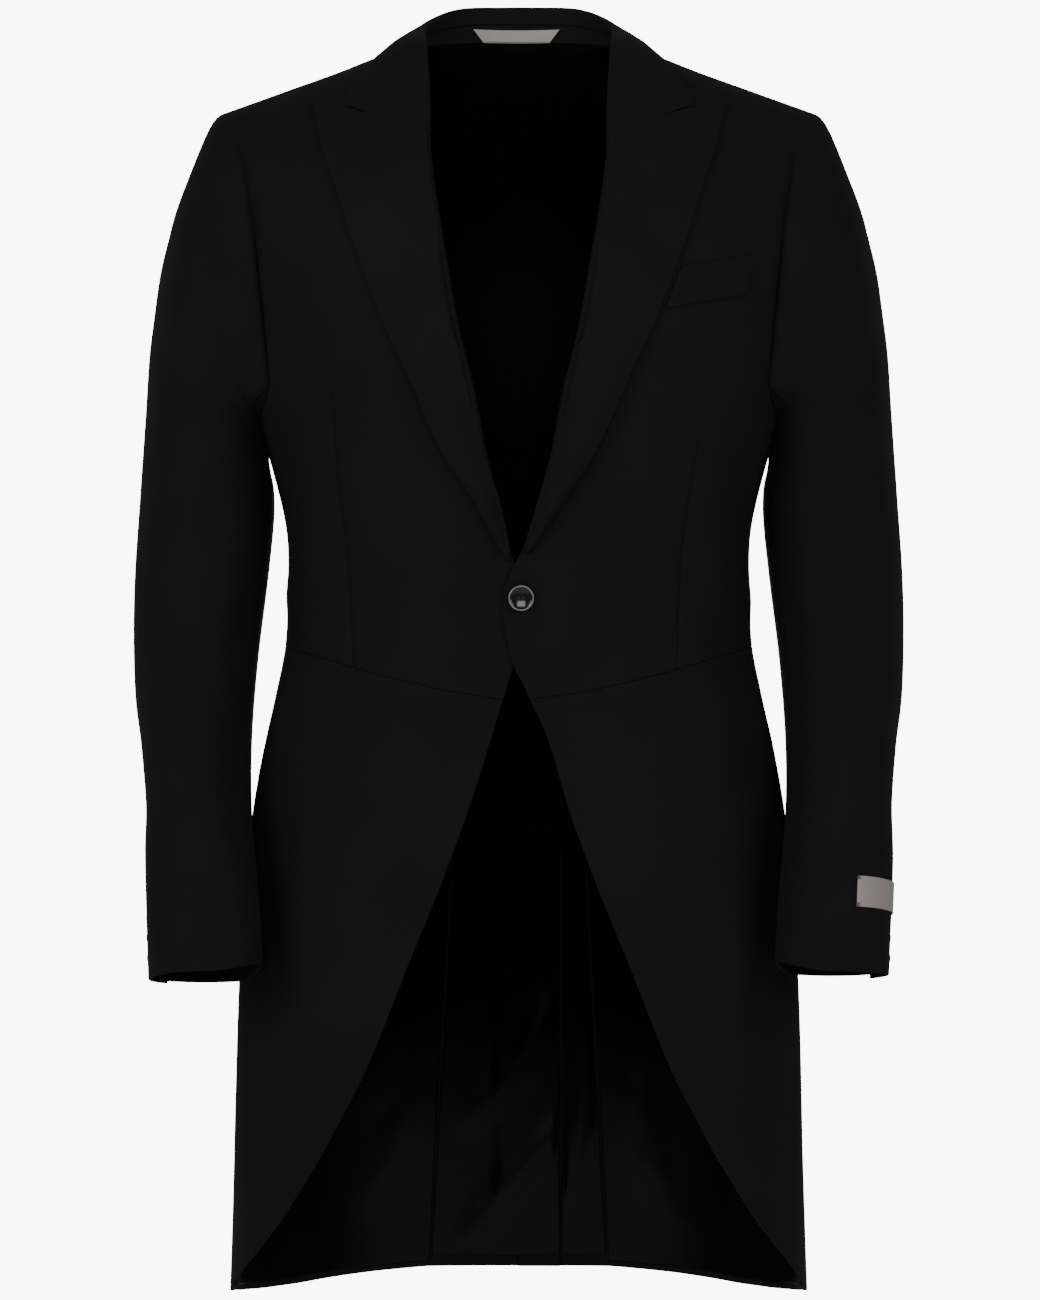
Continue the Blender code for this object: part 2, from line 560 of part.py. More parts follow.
def armhole_ring(turn):
    """The foot of the sleeve, standing just clear of the armhole's edge."""
    front = chain(ARM_RUN, ARM_TURN_RUN, SCYE_RUN[:2])
    back = chain(ARM_BACK_RUN, SCYE_RUN[:0:-1])
    step = 0.002
    ring = np.zeros(turn.shape + (3,))
    for run, way in ((front, 1), (back, -1)):
        share = np.clip(way * turn / math.pi, 0, 1)
        fine = smooth(run, 81)
        place = body(fine[:, 0], fine[:, 1])
        round_ = body(fine[:, 0] + step, fine[:, 1]) - place
        up = place - body(fine[:, 0], fine[:, 1] - step)
        push = np.cross(round_, up)
        push /= np.linalg.norm(push, axis=1, keepdims=True)
        along = np.concatenate([[0.0], np.cumsum(np.linalg.norm(np.diff(place, axis=0), axis=1))])
        along /= along[-1]
        at = np.stack([np.interp(share, along, place[:, k]) for k in range(3)], axis=-1)
        away = np.stack([np.interp(share, along, push[:, k]) for k in range(3)], axis=-1)
        top = np.exp(-(share * math.pi / 0.5) ** 2)[..., None]
        away = (0.75 - 0.65 * top) * away + (0.25 + 0.65 * top) * np.array([1.0, 0.0, 0.0])
        away /= np.linalg.norm(away, axis=-1, keepdims=True)
        lift = 0.0026 + 0.0002 * (1 - top)
        here = (share > 0) | (way == 1)
        ring = np.where(here[..., None], at + away * lift, ring)
    return ring


def sleeve_grid(rings, turns, side, out=0.0):
    """Points of the sleeve; turns has one row for each ring."""
    rings = np.array(rings, float)
    grid = np.stack([ellipse_ring(np.maximum(r, 1.0), turns[k]) for k, r in enumerate(rings)])
    for k, r in enumerate(rings):
        if r < 1.0:
            first = ellipse_ring(1.0, turns[k])
            grid[k] = armhole_ring(turns[k]) * (1 - r) + first * r
    n = normals(grid)
    centre = ellipse_ring(rings, 0.0) * 0.5 + ellipse_ring(rings, math.pi) * 0.5
    i, j = grid.shape[0] // 2, grid.shape[1] // 2
    if np.dot(n[i, j], grid[i, j] - centre[i]) < 0:
        n = -n
    push = np.zeros(turns.shape)
    for k in range(len(SLEEVE_CREASES["turn"])):
        a = (turns - SLEEVE_CREASES["turn"][k]) / SLEEVE_CREASES["spread_turn"][k]
        b = (rings[:, None] - SLEEVE_CREASES["ring"][k]) / SLEEVE_CREASES["spread_ring"][k]
        push = push + SLEEVE_CREASES["out"][k] * np.exp(-a ** 2 - b ** 2)
    return mirrored(grid + n * (push + out)[..., None], side)


def half_turns(turns):
    """The same turns, counted from minus a half turn to a half turn."""
    return np.mod(turns + math.pi, 2 * math.pi) - math.pi


def hindarm(ring):
    """The turn of the sleeve's back seam at a ring."""
    return HINDARM_TOP + (HINDARM_CUFF - HINDARM_TOP) * soft_step(0.0, RINGS, ring)


def sleeve_piece(name, rings, turns, side, look, out=0.0, thickness=WALL):
    ease = SEAM / 2 + UNDERARM_EASE * soft_step(3.0, 1.5, np.asarray(rings, float))[:, None]
    grid = inset(sleeve_grid(rings, turns, side, out), side_gap=ease)
    i, j = grid.shape[0] // 2, grid.shape[1] // 2
    middle = sleeve_grid(rings, np.zeros((len(rings), 3)), side)[i, 1] * 0.5
    middle = middle + sleeve_grid(rings, np.full((len(rings), 3), math.pi), side)[i, 1] * 0.5
    points_out = np.dot(normals(grid)[i, j], grid[i, j] - middle) > 0
    return cloth(name, grid if points_out else grid[:, ::-1], thickness, look)


def button_profile(size):
    """A flat button with a raised rim, a dished face and a short shank of thread below."""
    radius, thick = size["radius"], size["thick"]
    return ((0.0, 0.66 * thick), (0.62 * radius, 0.66 * thick), (0.80 * radius, thick),
            (radius, 0.85 * thick), (0.94 * radius, 0.30 * thick), (0.24 * radius, 0.30 * thick),
            (0.24 * radius, 0.0), (0.0, 0.0))


def underlap_patch():
    """The strip of the wearer's right tail that runs on behind the left one."""
    low, high = level(HEM_Z), level(VENT_TOP_Z)
    reach = seam(((VENT_UNDERLAP, HEM_Z),))[0, 0]
    start = smooth([(math.pi, high), (math.pi, low)], TAIL_STEPS)
    end = smooth([(math.pi + reach * 0.9, high), (math.pi + reach, low)], TAIL_STEPS)
    return coons(smooth([start[0], end[0]], 4), smooth([start[-1], end[-1]], 4), start, end)


def back_lining_patch():
    """Inside of the back, from the collar stand down to the waist seam."""
    half = back_patch()[:ARM_BACK_STEPS + SIDE_STEPS + 1]
    half[:, -1] = 0.5 * half[:, -2] + 0.5 * half[:, -1]
    other = half[:, :0:-1].copy()
    other[..., 0] = 2 * math.pi - other[..., 0]
    return np.concatenate([other, half], axis=1)


def tail_lining_patch(side):
    """Inside of one tail; the wearer's right one runs on over the underlap."""
    count = 10
    z = np.linspace(VENT_TOP_Z - 0.012, HEM_Z + 0.010, count)
    start_x = 0.0008 - VENT_UNDERLAP if side == RIGHT else VENT_UNDERLAP + 0.0014
    start = seam([(start_x, height) for height in z])
    start[:, 0] = math.pi - start[:, 0]
    end = smooth(seam(TAIL_SEAM, behind=True), 60)
    end_phi = np.interp(-level(z), -end[:, 1], end[:, 0])
    end = np.stack([end_phi + 0.012, level(z)], axis=1)
    across = 8 if side == RIGHT else 4
    return coons(smooth([start[0], end[0]], across), smooth([start[-1], end[-1]], across),
                 start, end)


def skirt_lining_patch(edge):
    """Inside of the skirt, drawn back from the cutaway edge by the width of its facing."""
    patch = skirt_patch(edge)
    patch = np.concatenate([patch[:-1:2], patch[-1:]])
    patch[:, 0] = 0.30 * patch[:, 0] + 0.70 * patch[:, 1]
    patch[-1] = 0.12 * patch[-2] + 0.88 * patch[-1]
    return patch


def welt_patch():
    """The breast pocket's welt, from the lapel's edge outwards."""
    top = smooth(seam(((0.1235, -0.1780), (0.1820, -0.1662))), 7)
    low = smooth(seam(((0.1110, -0.2105), (0.1744, -0.1973))), 7)
    return coons(top, low, smooth([top[0], low[0]], 4), smooth([top[-1], low[-1]], 4))


def neck_label_grid():
    """The label on the collar stand, following its curve round the neck."""
    across = np.linspace(-1.0, 1.0, 7)
    rows = []
    reach, depth = COLLAR["foot_x"][-2], COLLAR["foot_y"][-1] - COLLAR["foot_y"][-2]
    for edge in ("top", "low"):
        x = NECK_LABEL[edge] * across + NECK_LABEL["shift"]
        y = COLLAR["foot_y"][-1] - depth * (x / reach) ** 2
        z = NECK_LABEL[edge + "_z"]
        rows.append(np.stack([x, y - WALL - NECK_LABEL["lift"], np.full(len(x), z)], axis=1))
    return np.stack(rows)


def body_spot(phi, w, side, out):
    """A place on the coat's outer face and the way it faces."""
    step = 0.002
    here = body(phi, w)
    facing = np.cross(body(phi + step, w) - here, body(phi, w + step) - here)
    facing /= np.linalg.norm(facing)
    facing = facing if np.dot(facing[:2], here[:2]) > 0 else -facing
    spot = here + facing * (WALL + out)
    return Vector(mirrored(spot, side)), Vector(mirrored(facing, side))


def sleeve_spot(ring, turn, side, out):
    step = 0.02
    turns = np.array([[turn - step, turn, turn + step]] * 3)
    grid = sleeve_grid((ring - step, ring, ring + step), turns, side, 0.0)
    facing = normals(grid)[1, 1]
    middle = 0.5 * (ellipse_ring(ring, 0.0) + ellipse_ring(ring, math.pi)) * np.array([side, 1, 1])
    facing = facing if np.dot(facing, grid[1, 1] - middle) > 0 else -facing
    return Vector(grid[1, 1] + facing * (WALL + out)), Vector(facing)


WOOL = material("Worsted wool", (0.0075, 0.0075, 0.0085), 0.75)
SATIN = material("Lining satin", (0.010, 0.008, 0.009), 0.42)
HORN = material("Black horn", (0.012, 0.012, 0.013), 0.25)
WOVEN = material("Woven label", (0.24, 0.21, 0.20), 0.8)


def make_body_panels(word, side, edge):
    fore, skirt = forepart_patch(edge), skirt_patch(edge)
    panel("forepart_" + word, fore, side, WOOL, tuck(fore, side))
    panel("side_body_" + word, side_body_patch(), side, WOOL)
    panel("skirt_" + word, skirt, side, WOOL, tuck(skirt, side))
    panel("back_" + word, back_patch(), side, WOOL)
    lapel = inset(lapel_grid(side))
    cloth("lapel_" + word, lapel if faces_out(lapel) else lapel[:, ::-1], WALL, WOOL)


def make_sleeve(word, side):
    rings = np.array(RING_STOPS, float)
    back_seam = hindarm(rings)[:, None]
    share = np.linspace(0, 1, TOP_SLEEVE_STEPS + 1)[None, :]
    top_turns = back_seam * (1 - share) + FOREARM_SEAM * share
    share = np.linspace(0, 1, UNDER_SLEEVE_STEPS + 1)[None, :]
    under_turns = FOREARM_SEAM * (1 - share) + (back_seam + 2 * math.pi) * share
    sleeve_piece("top_sleeve_" + word, rings, top_turns, side, WOOL)
    sleeve_piece("under_sleeve_" + word, rings, half_turns(under_turns), side, WOOL)


def make_back_lining():
    patch = back_lining_patch()
    slack = np.zeros(patch.shape[:2])
    slack[:, [0, -1]] = BACK_LINING_SLACK
    panel("back_lining", patch, LEFT, SATIN, LINING_OUT + slack, LINING_WALL)


def make_tail_linings(word, side, edge):
    tail = tail_lining_patch(side)
    x = body(tail[..., 0], tail[..., 1])[..., 0]
    over = (UNDERLAP_OUT - LIFT) * soft_step(0.024, 0.013, x) if side == RIGHT else 0.0
    panel("tail_lining_" + word, tail, side, SATIN, LINING_OUT + over, LINING_WALL)
    skirt = skirt_lining_patch(edge)
    panel("skirt_lining_" + word, skirt, side, SATIN, SKIRT_LINING_OUT + tuck(skirt, side),
          LINING_WALL)


def make_labels():
    cloth("neck_label", neck_label_grid()[:, ::-1], LABEL_WALL, WOVEN)
    rings = np.linspace(SLEEVE_LABEL["high"], SLEEVE_LABEL["low"], 3)
    turns = np.linspace(SLEEVE_LABEL["start"], SLEEVE_LABEL["end"], 9)
    sleeve_piece("sleeve_label", rings, np.repeat(turns[None], 3, axis=0), LEFT, WOVEN,
                 WALL + SLEEVE_LABEL["lift"], LABEL_WALL)


def make_front_button():
    phi, w = seam(((FRONT_BUTTON["x"], FRONT_BUTTON["z"]),))[0]
    place, facing = body_spot(phi, w, LEFT, LIFT)
    turned("front_button", button_profile(FRONT_BUTTON), place, facing, HORN, FRONT_BUTTON_STEPS)


def make_side_buttons(word, side):
    phi, w = TAIL_RUN[0] - (BACK_BUTTON["in_phi"], BACK_BUTTON["down"])
    place, facing = body_spot(phi, w, side, LIFT)
    turned("back_button_" + word, button_profile(BACK_BUTTON), place, facing, HORN)
    for k, ring in enumerate(CUFF_BUTTON_RINGS):
        place, facing = sleeve_spot(ring, hindarm(ring) + CUFF_BUTTON_TURN, side, LIFT)
        turned("cuff_button_%s_%d" % (word, k + 1), button_profile(SMALL_BUTTON), place, facing, HORN)


for word, side, edge in (("left", LEFT, OVER_EDGE), ("right", RIGHT, UNDER_EDGE)):
    make_body_panels(word, side, edge)
    make_sleeve(word, side)
    make_tail_linings(word, side, edge)
    make_side_buttons(word, side)
cloth("collar", collar_grid(), WALL, WOOL)
panel("vent_underlap", underlap_patch(), RIGHT, WOOL, UNDERLAP_OUT)
make_back_lining()
panel("breast_welt", welt_patch(), LEFT, WOOL, WALL + SEAM, WELT_WALL)
make_labels()
make_front_button()
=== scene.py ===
# Morning coat: a cutaway suit jacket with tails in black worsted wool, filled out as if worn.
# Metres, +Z up, the front faces -Y and the wearer's left is +X.
import math

import bpy
import numpy as np
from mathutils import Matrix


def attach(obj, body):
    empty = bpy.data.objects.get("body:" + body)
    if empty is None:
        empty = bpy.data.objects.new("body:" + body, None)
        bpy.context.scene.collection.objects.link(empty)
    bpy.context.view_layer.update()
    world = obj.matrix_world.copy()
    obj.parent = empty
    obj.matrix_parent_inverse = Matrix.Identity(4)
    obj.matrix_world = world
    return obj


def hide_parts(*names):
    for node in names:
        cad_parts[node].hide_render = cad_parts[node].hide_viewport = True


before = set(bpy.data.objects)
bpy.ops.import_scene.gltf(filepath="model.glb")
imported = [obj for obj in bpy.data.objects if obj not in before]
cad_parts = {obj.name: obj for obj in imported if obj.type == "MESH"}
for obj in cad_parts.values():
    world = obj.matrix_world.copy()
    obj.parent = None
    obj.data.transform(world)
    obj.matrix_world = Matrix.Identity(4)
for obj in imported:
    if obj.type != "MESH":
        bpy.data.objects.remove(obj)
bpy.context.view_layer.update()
scene = bpy.context.scene
left, right = 1, -1

photo = {"distance": 3.6, "across": 0.001, "height": -0.468, "lens": 127.8, "sensor": 36.0}
cloth = {"wall": 0.002, "weltWall": 0.0012, "liningWall": 0.001, "labelWall": 0.0006, "fold": 0.001,
         "rimRows": (0.00012, 0.0004, 0.0009, 0.0016), "air": 0.0004, "liningFall": 1.6, "liningRise": 0.0003,
         "liningEdge": 0.006, "bodyRadian": 0.17, "sleeveRadian": 0.055}


def columns(names, *rows):
    # a short table: one name for each column, one row for each section
    return {name: np.array(column, float) for name, column in zip(names.split(), zip(*rows))}


def unit(v):
    # directions, each of length one
    return v / np.linalg.norm(v, axis=-1, keepdims=True)


def mirrored(points, side):
    # from the wearer's left to the given side
    return points * np.array([side, 1.0, 1.0])


def runLength(points):
    # how far along a run each of its points lies
    return np.concatenate([[0.0], np.cumsum(np.linalg.norm(np.diff(points, axis=0), axis=1))])


def bell(at, width):
    return np.exp(-(at / width) ** 2)


# The camera and the lights

def addCamera():
    made = bpy.data.objects.new("camera", bpy.data.cameras.new("camera"))
    scene.collection.objects.link(made)
    made.location = (photo["across"], -photo["distance"], photo["height"])
    made.rotation_euler = (math.pi / 2, 0.0, 0.0)
    made.data.lens = photo["lens"]
    made.data.sensor_width = photo["sensor"]
    made.data.sensor_fit = "AUTO"
    scene.camera = made


def addLight(name, place, target, size, power):
    made = bpy.data.objects.new(name, bpy.data.lights.new(name, "AREA"))
    scene.collection.objects.link(made)
    made.data.shape = "RECTANGLE"
    made.data.size, made.data.size_y = size
    made.data.energy = power
    made.location = place
    aim = np.array(target, float) - np.array(place, float)
    made.rotation_euler = (math.acos(-aim[2] / np.linalg.norm(aim)), 0.0, math.atan2(aim[1], aim[0]) - math.pi / 2)


studio = {"floorZ": -1.45, "floorSize": 6.0, "floorColour": "#f4f4f3", "floorRough": 0.9, "room": 0.35,
          "backdrop": 9.0, "backdropTurn": (10.8, 14.0),
          "lights": (("keyLight", (-2.2, -2.3, 0.7), (0.0, 0.0, -0.45), (1.3, 1.8), 56.0),
                     ("fillLight", (2.3, -2.2, 0.5), (0.0, 0.0, -0.45), (1.3, 1.8), 36.0),
                     ("frontLight", (0.0, -2.5, 0.14), (0.0, 0.0, -0.43), (1.1, 0.75), 24.0))}


def linear(hexColour):
    # sRGB hex to the linear colour that the shader wants
    value = np.array([int(hexColour[k:k + 2], 16) for k in (1, 3, 5)]) / 255.0
    value = np.where(value > 0.04045, ((value + 0.055) / 1.055) ** 2.4, value / 12.92)
    return (*value.tolist(), 1.0)


def addNode(tree, kind, inputs=None, **settings):
    # one node with its settings; an input is either a value or another node's output
    node = tree.nodes.new(kind)
    for name, value in settings.items():
        setattr(node, name, value)
    for name, value in (inputs or {}).items():
        if isinstance(value, bpy.types.NodeSocket):
            tree.links.new(value, node.inputs[name])
        else:
            node.inputs[name].default_value = value
    return node


def newMaterial(name):
    made = bpy.data.materials.new(name)
    made.use_nodes = True
    return made, made.node_tree


def setShader(tree, **values):
    for name, value in values.items():
        socket = tree.nodes["Principled BSDF"].inputs[name.replace("_", " ")]
        if isinstance(value, bpy.types.NodeSocket):
            tree.links.new(value, socket)
        else:
            socket.default_value = value


def mixColours(tree, share, first, second):
    return addNode(tree, "ShaderNodeMix", {"Factor": share, "A": linear(first), "B": linear(second)},
                   data_type="RGBA").outputs["Result"]


def objectPlace(tree):
    return addNode(tree, "ShaderNodeTexCoord").outputs["Object"]


def clothPlace(tree):
    # the cloth's own unrolled coordinates, in metres
    return addNode(tree, "ShaderNodeUVMap", uv_map="cloth").outputs["UV"]


def noiseOf(tree, place, scale, detail, distortion=0.0):
    return addNode(tree, "ShaderNodeTexNoise", {"Vector": place, "Scale": scale, "Detail": detail,
                   "Distortion": distortion}).outputs["Fac"]


def bumpOf(tree, height, strength, distance):
    return addNode(tree, "ShaderNodeBump", {"Height": height, "Strength": strength,
                   "Distance": distance}).outputs["Normal"]


def fadeOf(tree, value, low, high, atLow, atHigh):
    # a smooth change between two values
    return addNode(tree, "ShaderNodeMapRange", {"Value": value, "From Min": low, "From Max": high, "To Min": atLow,
                   "To Max": atHigh}, interpolation_type="SMOOTHSTEP").outputs["Result"]


def waveScale(pitch):
    # the wave texture has 20 / (2 pi) waves a metre at scale 1
    return 2 * math.pi / pitch / 20.0


def addRoom():
    # a pale room whose far wall, straight behind the coat, is lit up white
    scene.world = bpy.data.worlds.new("paleStudio")
    scene.world.use_nodes = True
    tree = scene.world.node_tree
    way = addNode(tree, "ShaderNodeTexCoord")
    ahead = addNode(tree, "ShaderNodeVectorMath", {0: way.outputs["Generated"], 1: (0.0, 1.0, 0.0)},
                    operation="DOT_PRODUCT")
    near, far = (math.cos(math.radians(turn)) for turn in studio["backdropTurn"])
    strength = fadeOf(tree, ahead.outputs["Value"], far, near, studio["room"], studio["backdrop"])
    tree.links.new(strength, tree.nodes["Background"].inputs["Strength"])
    tree.nodes["Background"].inputs["Color"].default_value = (1.0, 1.0, 1.0, 1.0)


woolLook = {"dark": "#0c0b0c", "light": "#121213", "rough": 0.82, "shine": 0.06, "sheen": 0.006, "sheenRough": 0.5,
            "twillPitch": 0.0011, "twillTurn": math.radians(63), "twillDepth": 0.00006, "twillStrength": 0.6,
            "fibre": 0.0006, "fibreShare": 0.7, "cloud": 14.0}


def worstedWool():
    # fine worsted twill, pressed: matt, with steep diagonal ribs and a thin bloom of fibre at the edges;
    # the real ribs are 0.4 mm apart and are drawn coarser so that they still show
    made, tree = newMaterial("worstedWool")
    turned = addNode(tree, "ShaderNodeMapping", {"Vector": clothPlace(tree), "Rotation": (0, 0, woolLook["twillTurn"])})
    ribs = addNode(tree, "ShaderNodeTexWave", {"Vector": turned.outputs["Vector"], "Distortion": 0.6, "Detail": 1.0,
                   "Detail Scale": 2.0, "Scale": waveScale(woolLook["twillPitch"])}, bands_direction="X")
    place = objectPlace(tree)
    fibre = noiseOf(tree, place, 1 / woolLook["fibre"], 2.0)
    cloud = noiseOf(tree, place, woolLook["cloud"], 3.0)
    both = addNode(tree, "ShaderNodeMath", {0: fibre, 1: woolLook["fibreShare"], 2: ribs.outputs["Fac"]},
                   operation="MULTIPLY_ADD")
    setShader(tree, Base_Color=mixColours(tree, cloud, woolLook["dark"], woolLook["light"]),
              Roughness=woolLook["rough"], Specular_IOR_Level=woolLook["shine"], Sheen_Weight=woolLook["sheen"],
              Sheen_Roughness=woolLook["sheenRough"],
              Normal=bumpOf(tree, both.outputs["Value"], woolLook["twillStrength"], woolLook["twillDepth"]))
    return made


# for each lining its two colours, roughness, and its shine high up and low down; the weaker shine high up, and the
# body's darker and duller lining, are painted shade
satinLook = {"thread": 0.0005, "floats": 60.0, "depth": 0.00004, "strength": 0.25, "anisotropic": 0.5,
             "tails": ("#040203", "#080506", 0.36, (0.012, 0.100)), "body": ("#020202", "#040303", 0.55, (0.03, 0.03)),
             "fade": (-0.900, -0.740), "sides": (0.095, 0.165), "atSides": 0.2}


def liningCloth(name, dark, light, rough, shine):
    # smooth satin: long floats along the cloth give a soft shine that follows its folds; the body's lining is
    # the same satin drawn darker and duller than the skirts', as painted shade for the dark inside of the coat
    made, tree = newMaterial(name)
    along = addNode(tree, "ShaderNodeMapping", {"Vector": clothPlace(tree),
                    "Scale": (1 / satinLook["thread"], satinLook["floats"], 1.0)})
    floats = noiseOf(tree, along.outputs["Vector"], 1.0, 2.0)
    # painted shade: the satin's shine fades upwards and to the sides, standing in for the shade inside the skirts and
    # along their edges, and is full only low down and towards the middle
    place = addNode(tree, "ShaderNodeSeparateXYZ", {0: objectPlace(tree)})
    shadedShine = fadeOf(tree, place.outputs["Z"], *satinLook["fade"], shine[1], shine[0])
    beside = addNode(tree, "ShaderNodeMath", {0: place.outputs["X"]}, operation="ABSOLUTE")
    inside = fadeOf(tree, beside.outputs["Value"], *satinLook["sides"], 1.0, satinLook["atSides"])
    both = addNode(tree, "ShaderNodeMath", {0: shadedShine, 1: inside}, operation="MULTIPLY")
    setShader(tree, Base_Color=mixColours(tree, floats, dark, light), Roughness=rough,
              Specular_IOR_Level=both.outputs["Value"], Anisotropic=satinLook["anisotropic"],
              Normal=bumpOf(tree, floats, satinLook["strength"], satinLook["depth"]))
    return made


# rimDark and rimLight colour the front button's rim: painted reflection of the bright room on its glossy edge
hornLook = {"dark": "#030303", "light": "#0a0808", "rough": 0.12, "shine": 0.30, "grain": (260.0, 260.0, 60.0),
            "scratches": (0.05, 0.00005), "rimDark": "#4a4a4b", "rimLight": "#606061", "rimRough": 0.22, "cloud": 300.0}


def polishedHorn():
    # black buffalo horn, turned and polished: faint brown streaks under a hard gloss
    made, tree = newMaterial("polishedHorn")
    grain = addNode(tree, "ShaderNodeMapping", {"Vector": objectPlace(tree), "Scale": hornLook["grain"]})
    streaks = noiseOf(tree, grain.outputs["Vector"], 1.0, 4.0, 0.8)
    setShader(tree, Base_Color=mixColours(tree, streaks, hornLook["dark"], hornLook["light"]),
              Roughness=hornLook["rough"], Specular_IOR_Level=hornLook["shine"],
              Normal=bumpOf(tree, streaks, *hornLook["scratches"]))
    return made


def paintedRimReflection():
    # painted reflection: the front button's turned rim is drawn pale grey, standing in for the bright room seen in its
    # polished edge
    made, tree = newMaterial("paintedRimReflection")
    cloud = noiseOf(tree, objectPlace(tree), hornLook["cloud"], 3.0)
    setShader(tree, Base_Color=mixColours(tree, cloud, hornLook["rimDark"], hornLook["rimLight"]),
              Roughness=hornLook["rimRough"])
    return made


labelLook = {"neckDark": "#7a7371", "neckLight": "#948c89", "sleeveDark": "#756c6a", "sleeveLight": "#887f7c",
             "rough": 0.6, "pick": 0.0006, "pickDepth": 0.00006, "noise": 900.0}


def wovenLabel(name, dark, light):
    # damask label cloth: close flat picks with a slight shine, left bare
    made, tree = newMaterial(name)
    uv = clothPlace(tree)
    picks = addNode(tree, "ShaderNodeTexWave", {"Vector": uv, "Distortion": 0.3, "Scale": waveScale(labelLook["pick"])},
                    bands_direction="Y").outputs["Fac"]
    share = addNode(tree, "ShaderNodeMath", {0: picks, 1: noiseOf(tree, uv, labelLook["noise"], 2.0)},
                    operation="MULTIPLY")
    setShader(tree, Base_Color=mixColours(tree, share.outputs["Value"], dark, light), Roughness=labelLook["rough"],
              Normal=bumpOf(tree, picks, 0.5, labelLook["pickDepth"]))
    return made


threadLook = {"black": ("#0d0d0e", "#19191b"), "grey": ("#3a3837", "#55514f"), "rough": 0.55, "plies": 1800.0,
              "plyDepth": 0.0001}


def silkThread(name, dark, light):
    # buttonhole twist and tacking thread: two plies with a dull shine
    made, tree = newMaterial(name)
    plies = noiseOf(tree, objectPlace(tree), threadLook["plies"], 1.0)
    setShader(tree, Base_Color=mixColours(tree, plies, dark, light), Roughness=threadLook["rough"],
              Normal=bumpOf(tree, plies, 0.4, threadLook["plyDepth"]))
    return made


addCamera()
for light in studio["lights"]:
    addLight(*light)
addRoom()
wool, horn, rimReflectionLook = worstedWool(), polishedHorn(), paintedRimReflection()
satin = liningCloth("skirtSatin", *satinLook["tails"])
# painted shade: the body's lining is darker and duller than the skirts', for the dark inside of the coat
shadedBodySatin = liningCloth("shadedBodySatin", *satinLook["body"])
neckCloth = wovenLabel("neckLabelWeave", labelLook["neckDark"], labelLook["neckLight"])
sleeveCloth = wovenLabel("sleeveLabelWeave", labelLook["sleeveDark"], labelLook["sleeveLight"])
blackThread = silkThread("blackThread", *threadLook["black"])
greyThread = silkThread("greyThread", *threadLook["grey"])
print("camera, lights and materials ready")

# The coat's form: the same tables that its solids are cut from

torso = columns(
    "w half front back",
    (0.240, 0.285, 0.104, 0.108),     # shoulder ridge
    (0.120, 0.252, 0.120, 0.118),     # collar bones and blades
    (0.000, 0.216, 0.130, 0.119),     # chest
    (-0.060, 0.2055, 0.129, 0.113),   # under the arms
    (-0.110, 0.1915, 0.124, 0.102),
    (-0.160, 0.1805, 0.117, 0.092),   # waist
    (-0.200, 0.1798, 0.113, 0.088),
    (-0.250, 0.1825, 0.112, 0.090),   # waist seam
    (-0.280, 0.1885, 0.113, 0.095),
    (-0.330, 0.1985, 0.117, 0.104),   # hips
    (-0.380, 0.2065, 0.120, 0.110),
    (-0.480, 0.2155, 0.124, 0.116),
    (-0.600, 0.2205, 0.126, 0.120),
    (-0.750, 0.2255, 0.126, 0.127),   # hem
)
shoulder = columns(
    "x z nape",
    (0.000, 0.0160, 0.0700),
    (0.030, 0.0150, 0.0670),
    (0.060, 0.0110, 0.0500),
    (0.078, 0.0065, 0.0260),
    (0.090, 0.0020, 0.0080),
    (0.113, -0.0065, 0.0040),
    (0.139, -0.0168, 0.0040),
    (0.175, -0.0298, 0.0040),
    (0.226, -0.0480, 0.0040),
    (0.290, -0.0700, 0.0040),
)
form = {"chestZ": -0.220, "ridge": 0.240, "roundness": 2.4, "ridgeY": 0.004, "napePower": 2.2,
        "neckPoint": 0.0880, "shoulderPoint": 0.2332}

# broad folds that the solids share: the middle, width round and height of each, and how far it stands out
broadFolds = columns(
    "phi w spreadPhi spreadW out",
    (1.30, -0.360, 0.12, 0.100, 0.0050),     # skirt hip spring
    (1.62, -0.620, 0.10, 0.200, -0.0045),    # side of the skirt
    (1.95, -0.640, 0.12, 0.200, 0.0050),
    (2.30, -0.620, 0.10, 0.180, -0.0040),
    (1.05, -0.560, 0.16, 0.130, -0.0035),    # behind the front edge
    (0.45, -0.215, 0.16, 0.030, 0.0030),     # drag beside the button
    (0.80, -0.175, 0.14, 0.035, -0.0025),
    (1.28, -0.124, 0.20, 0.032, -0.0022),    # under the arm
)

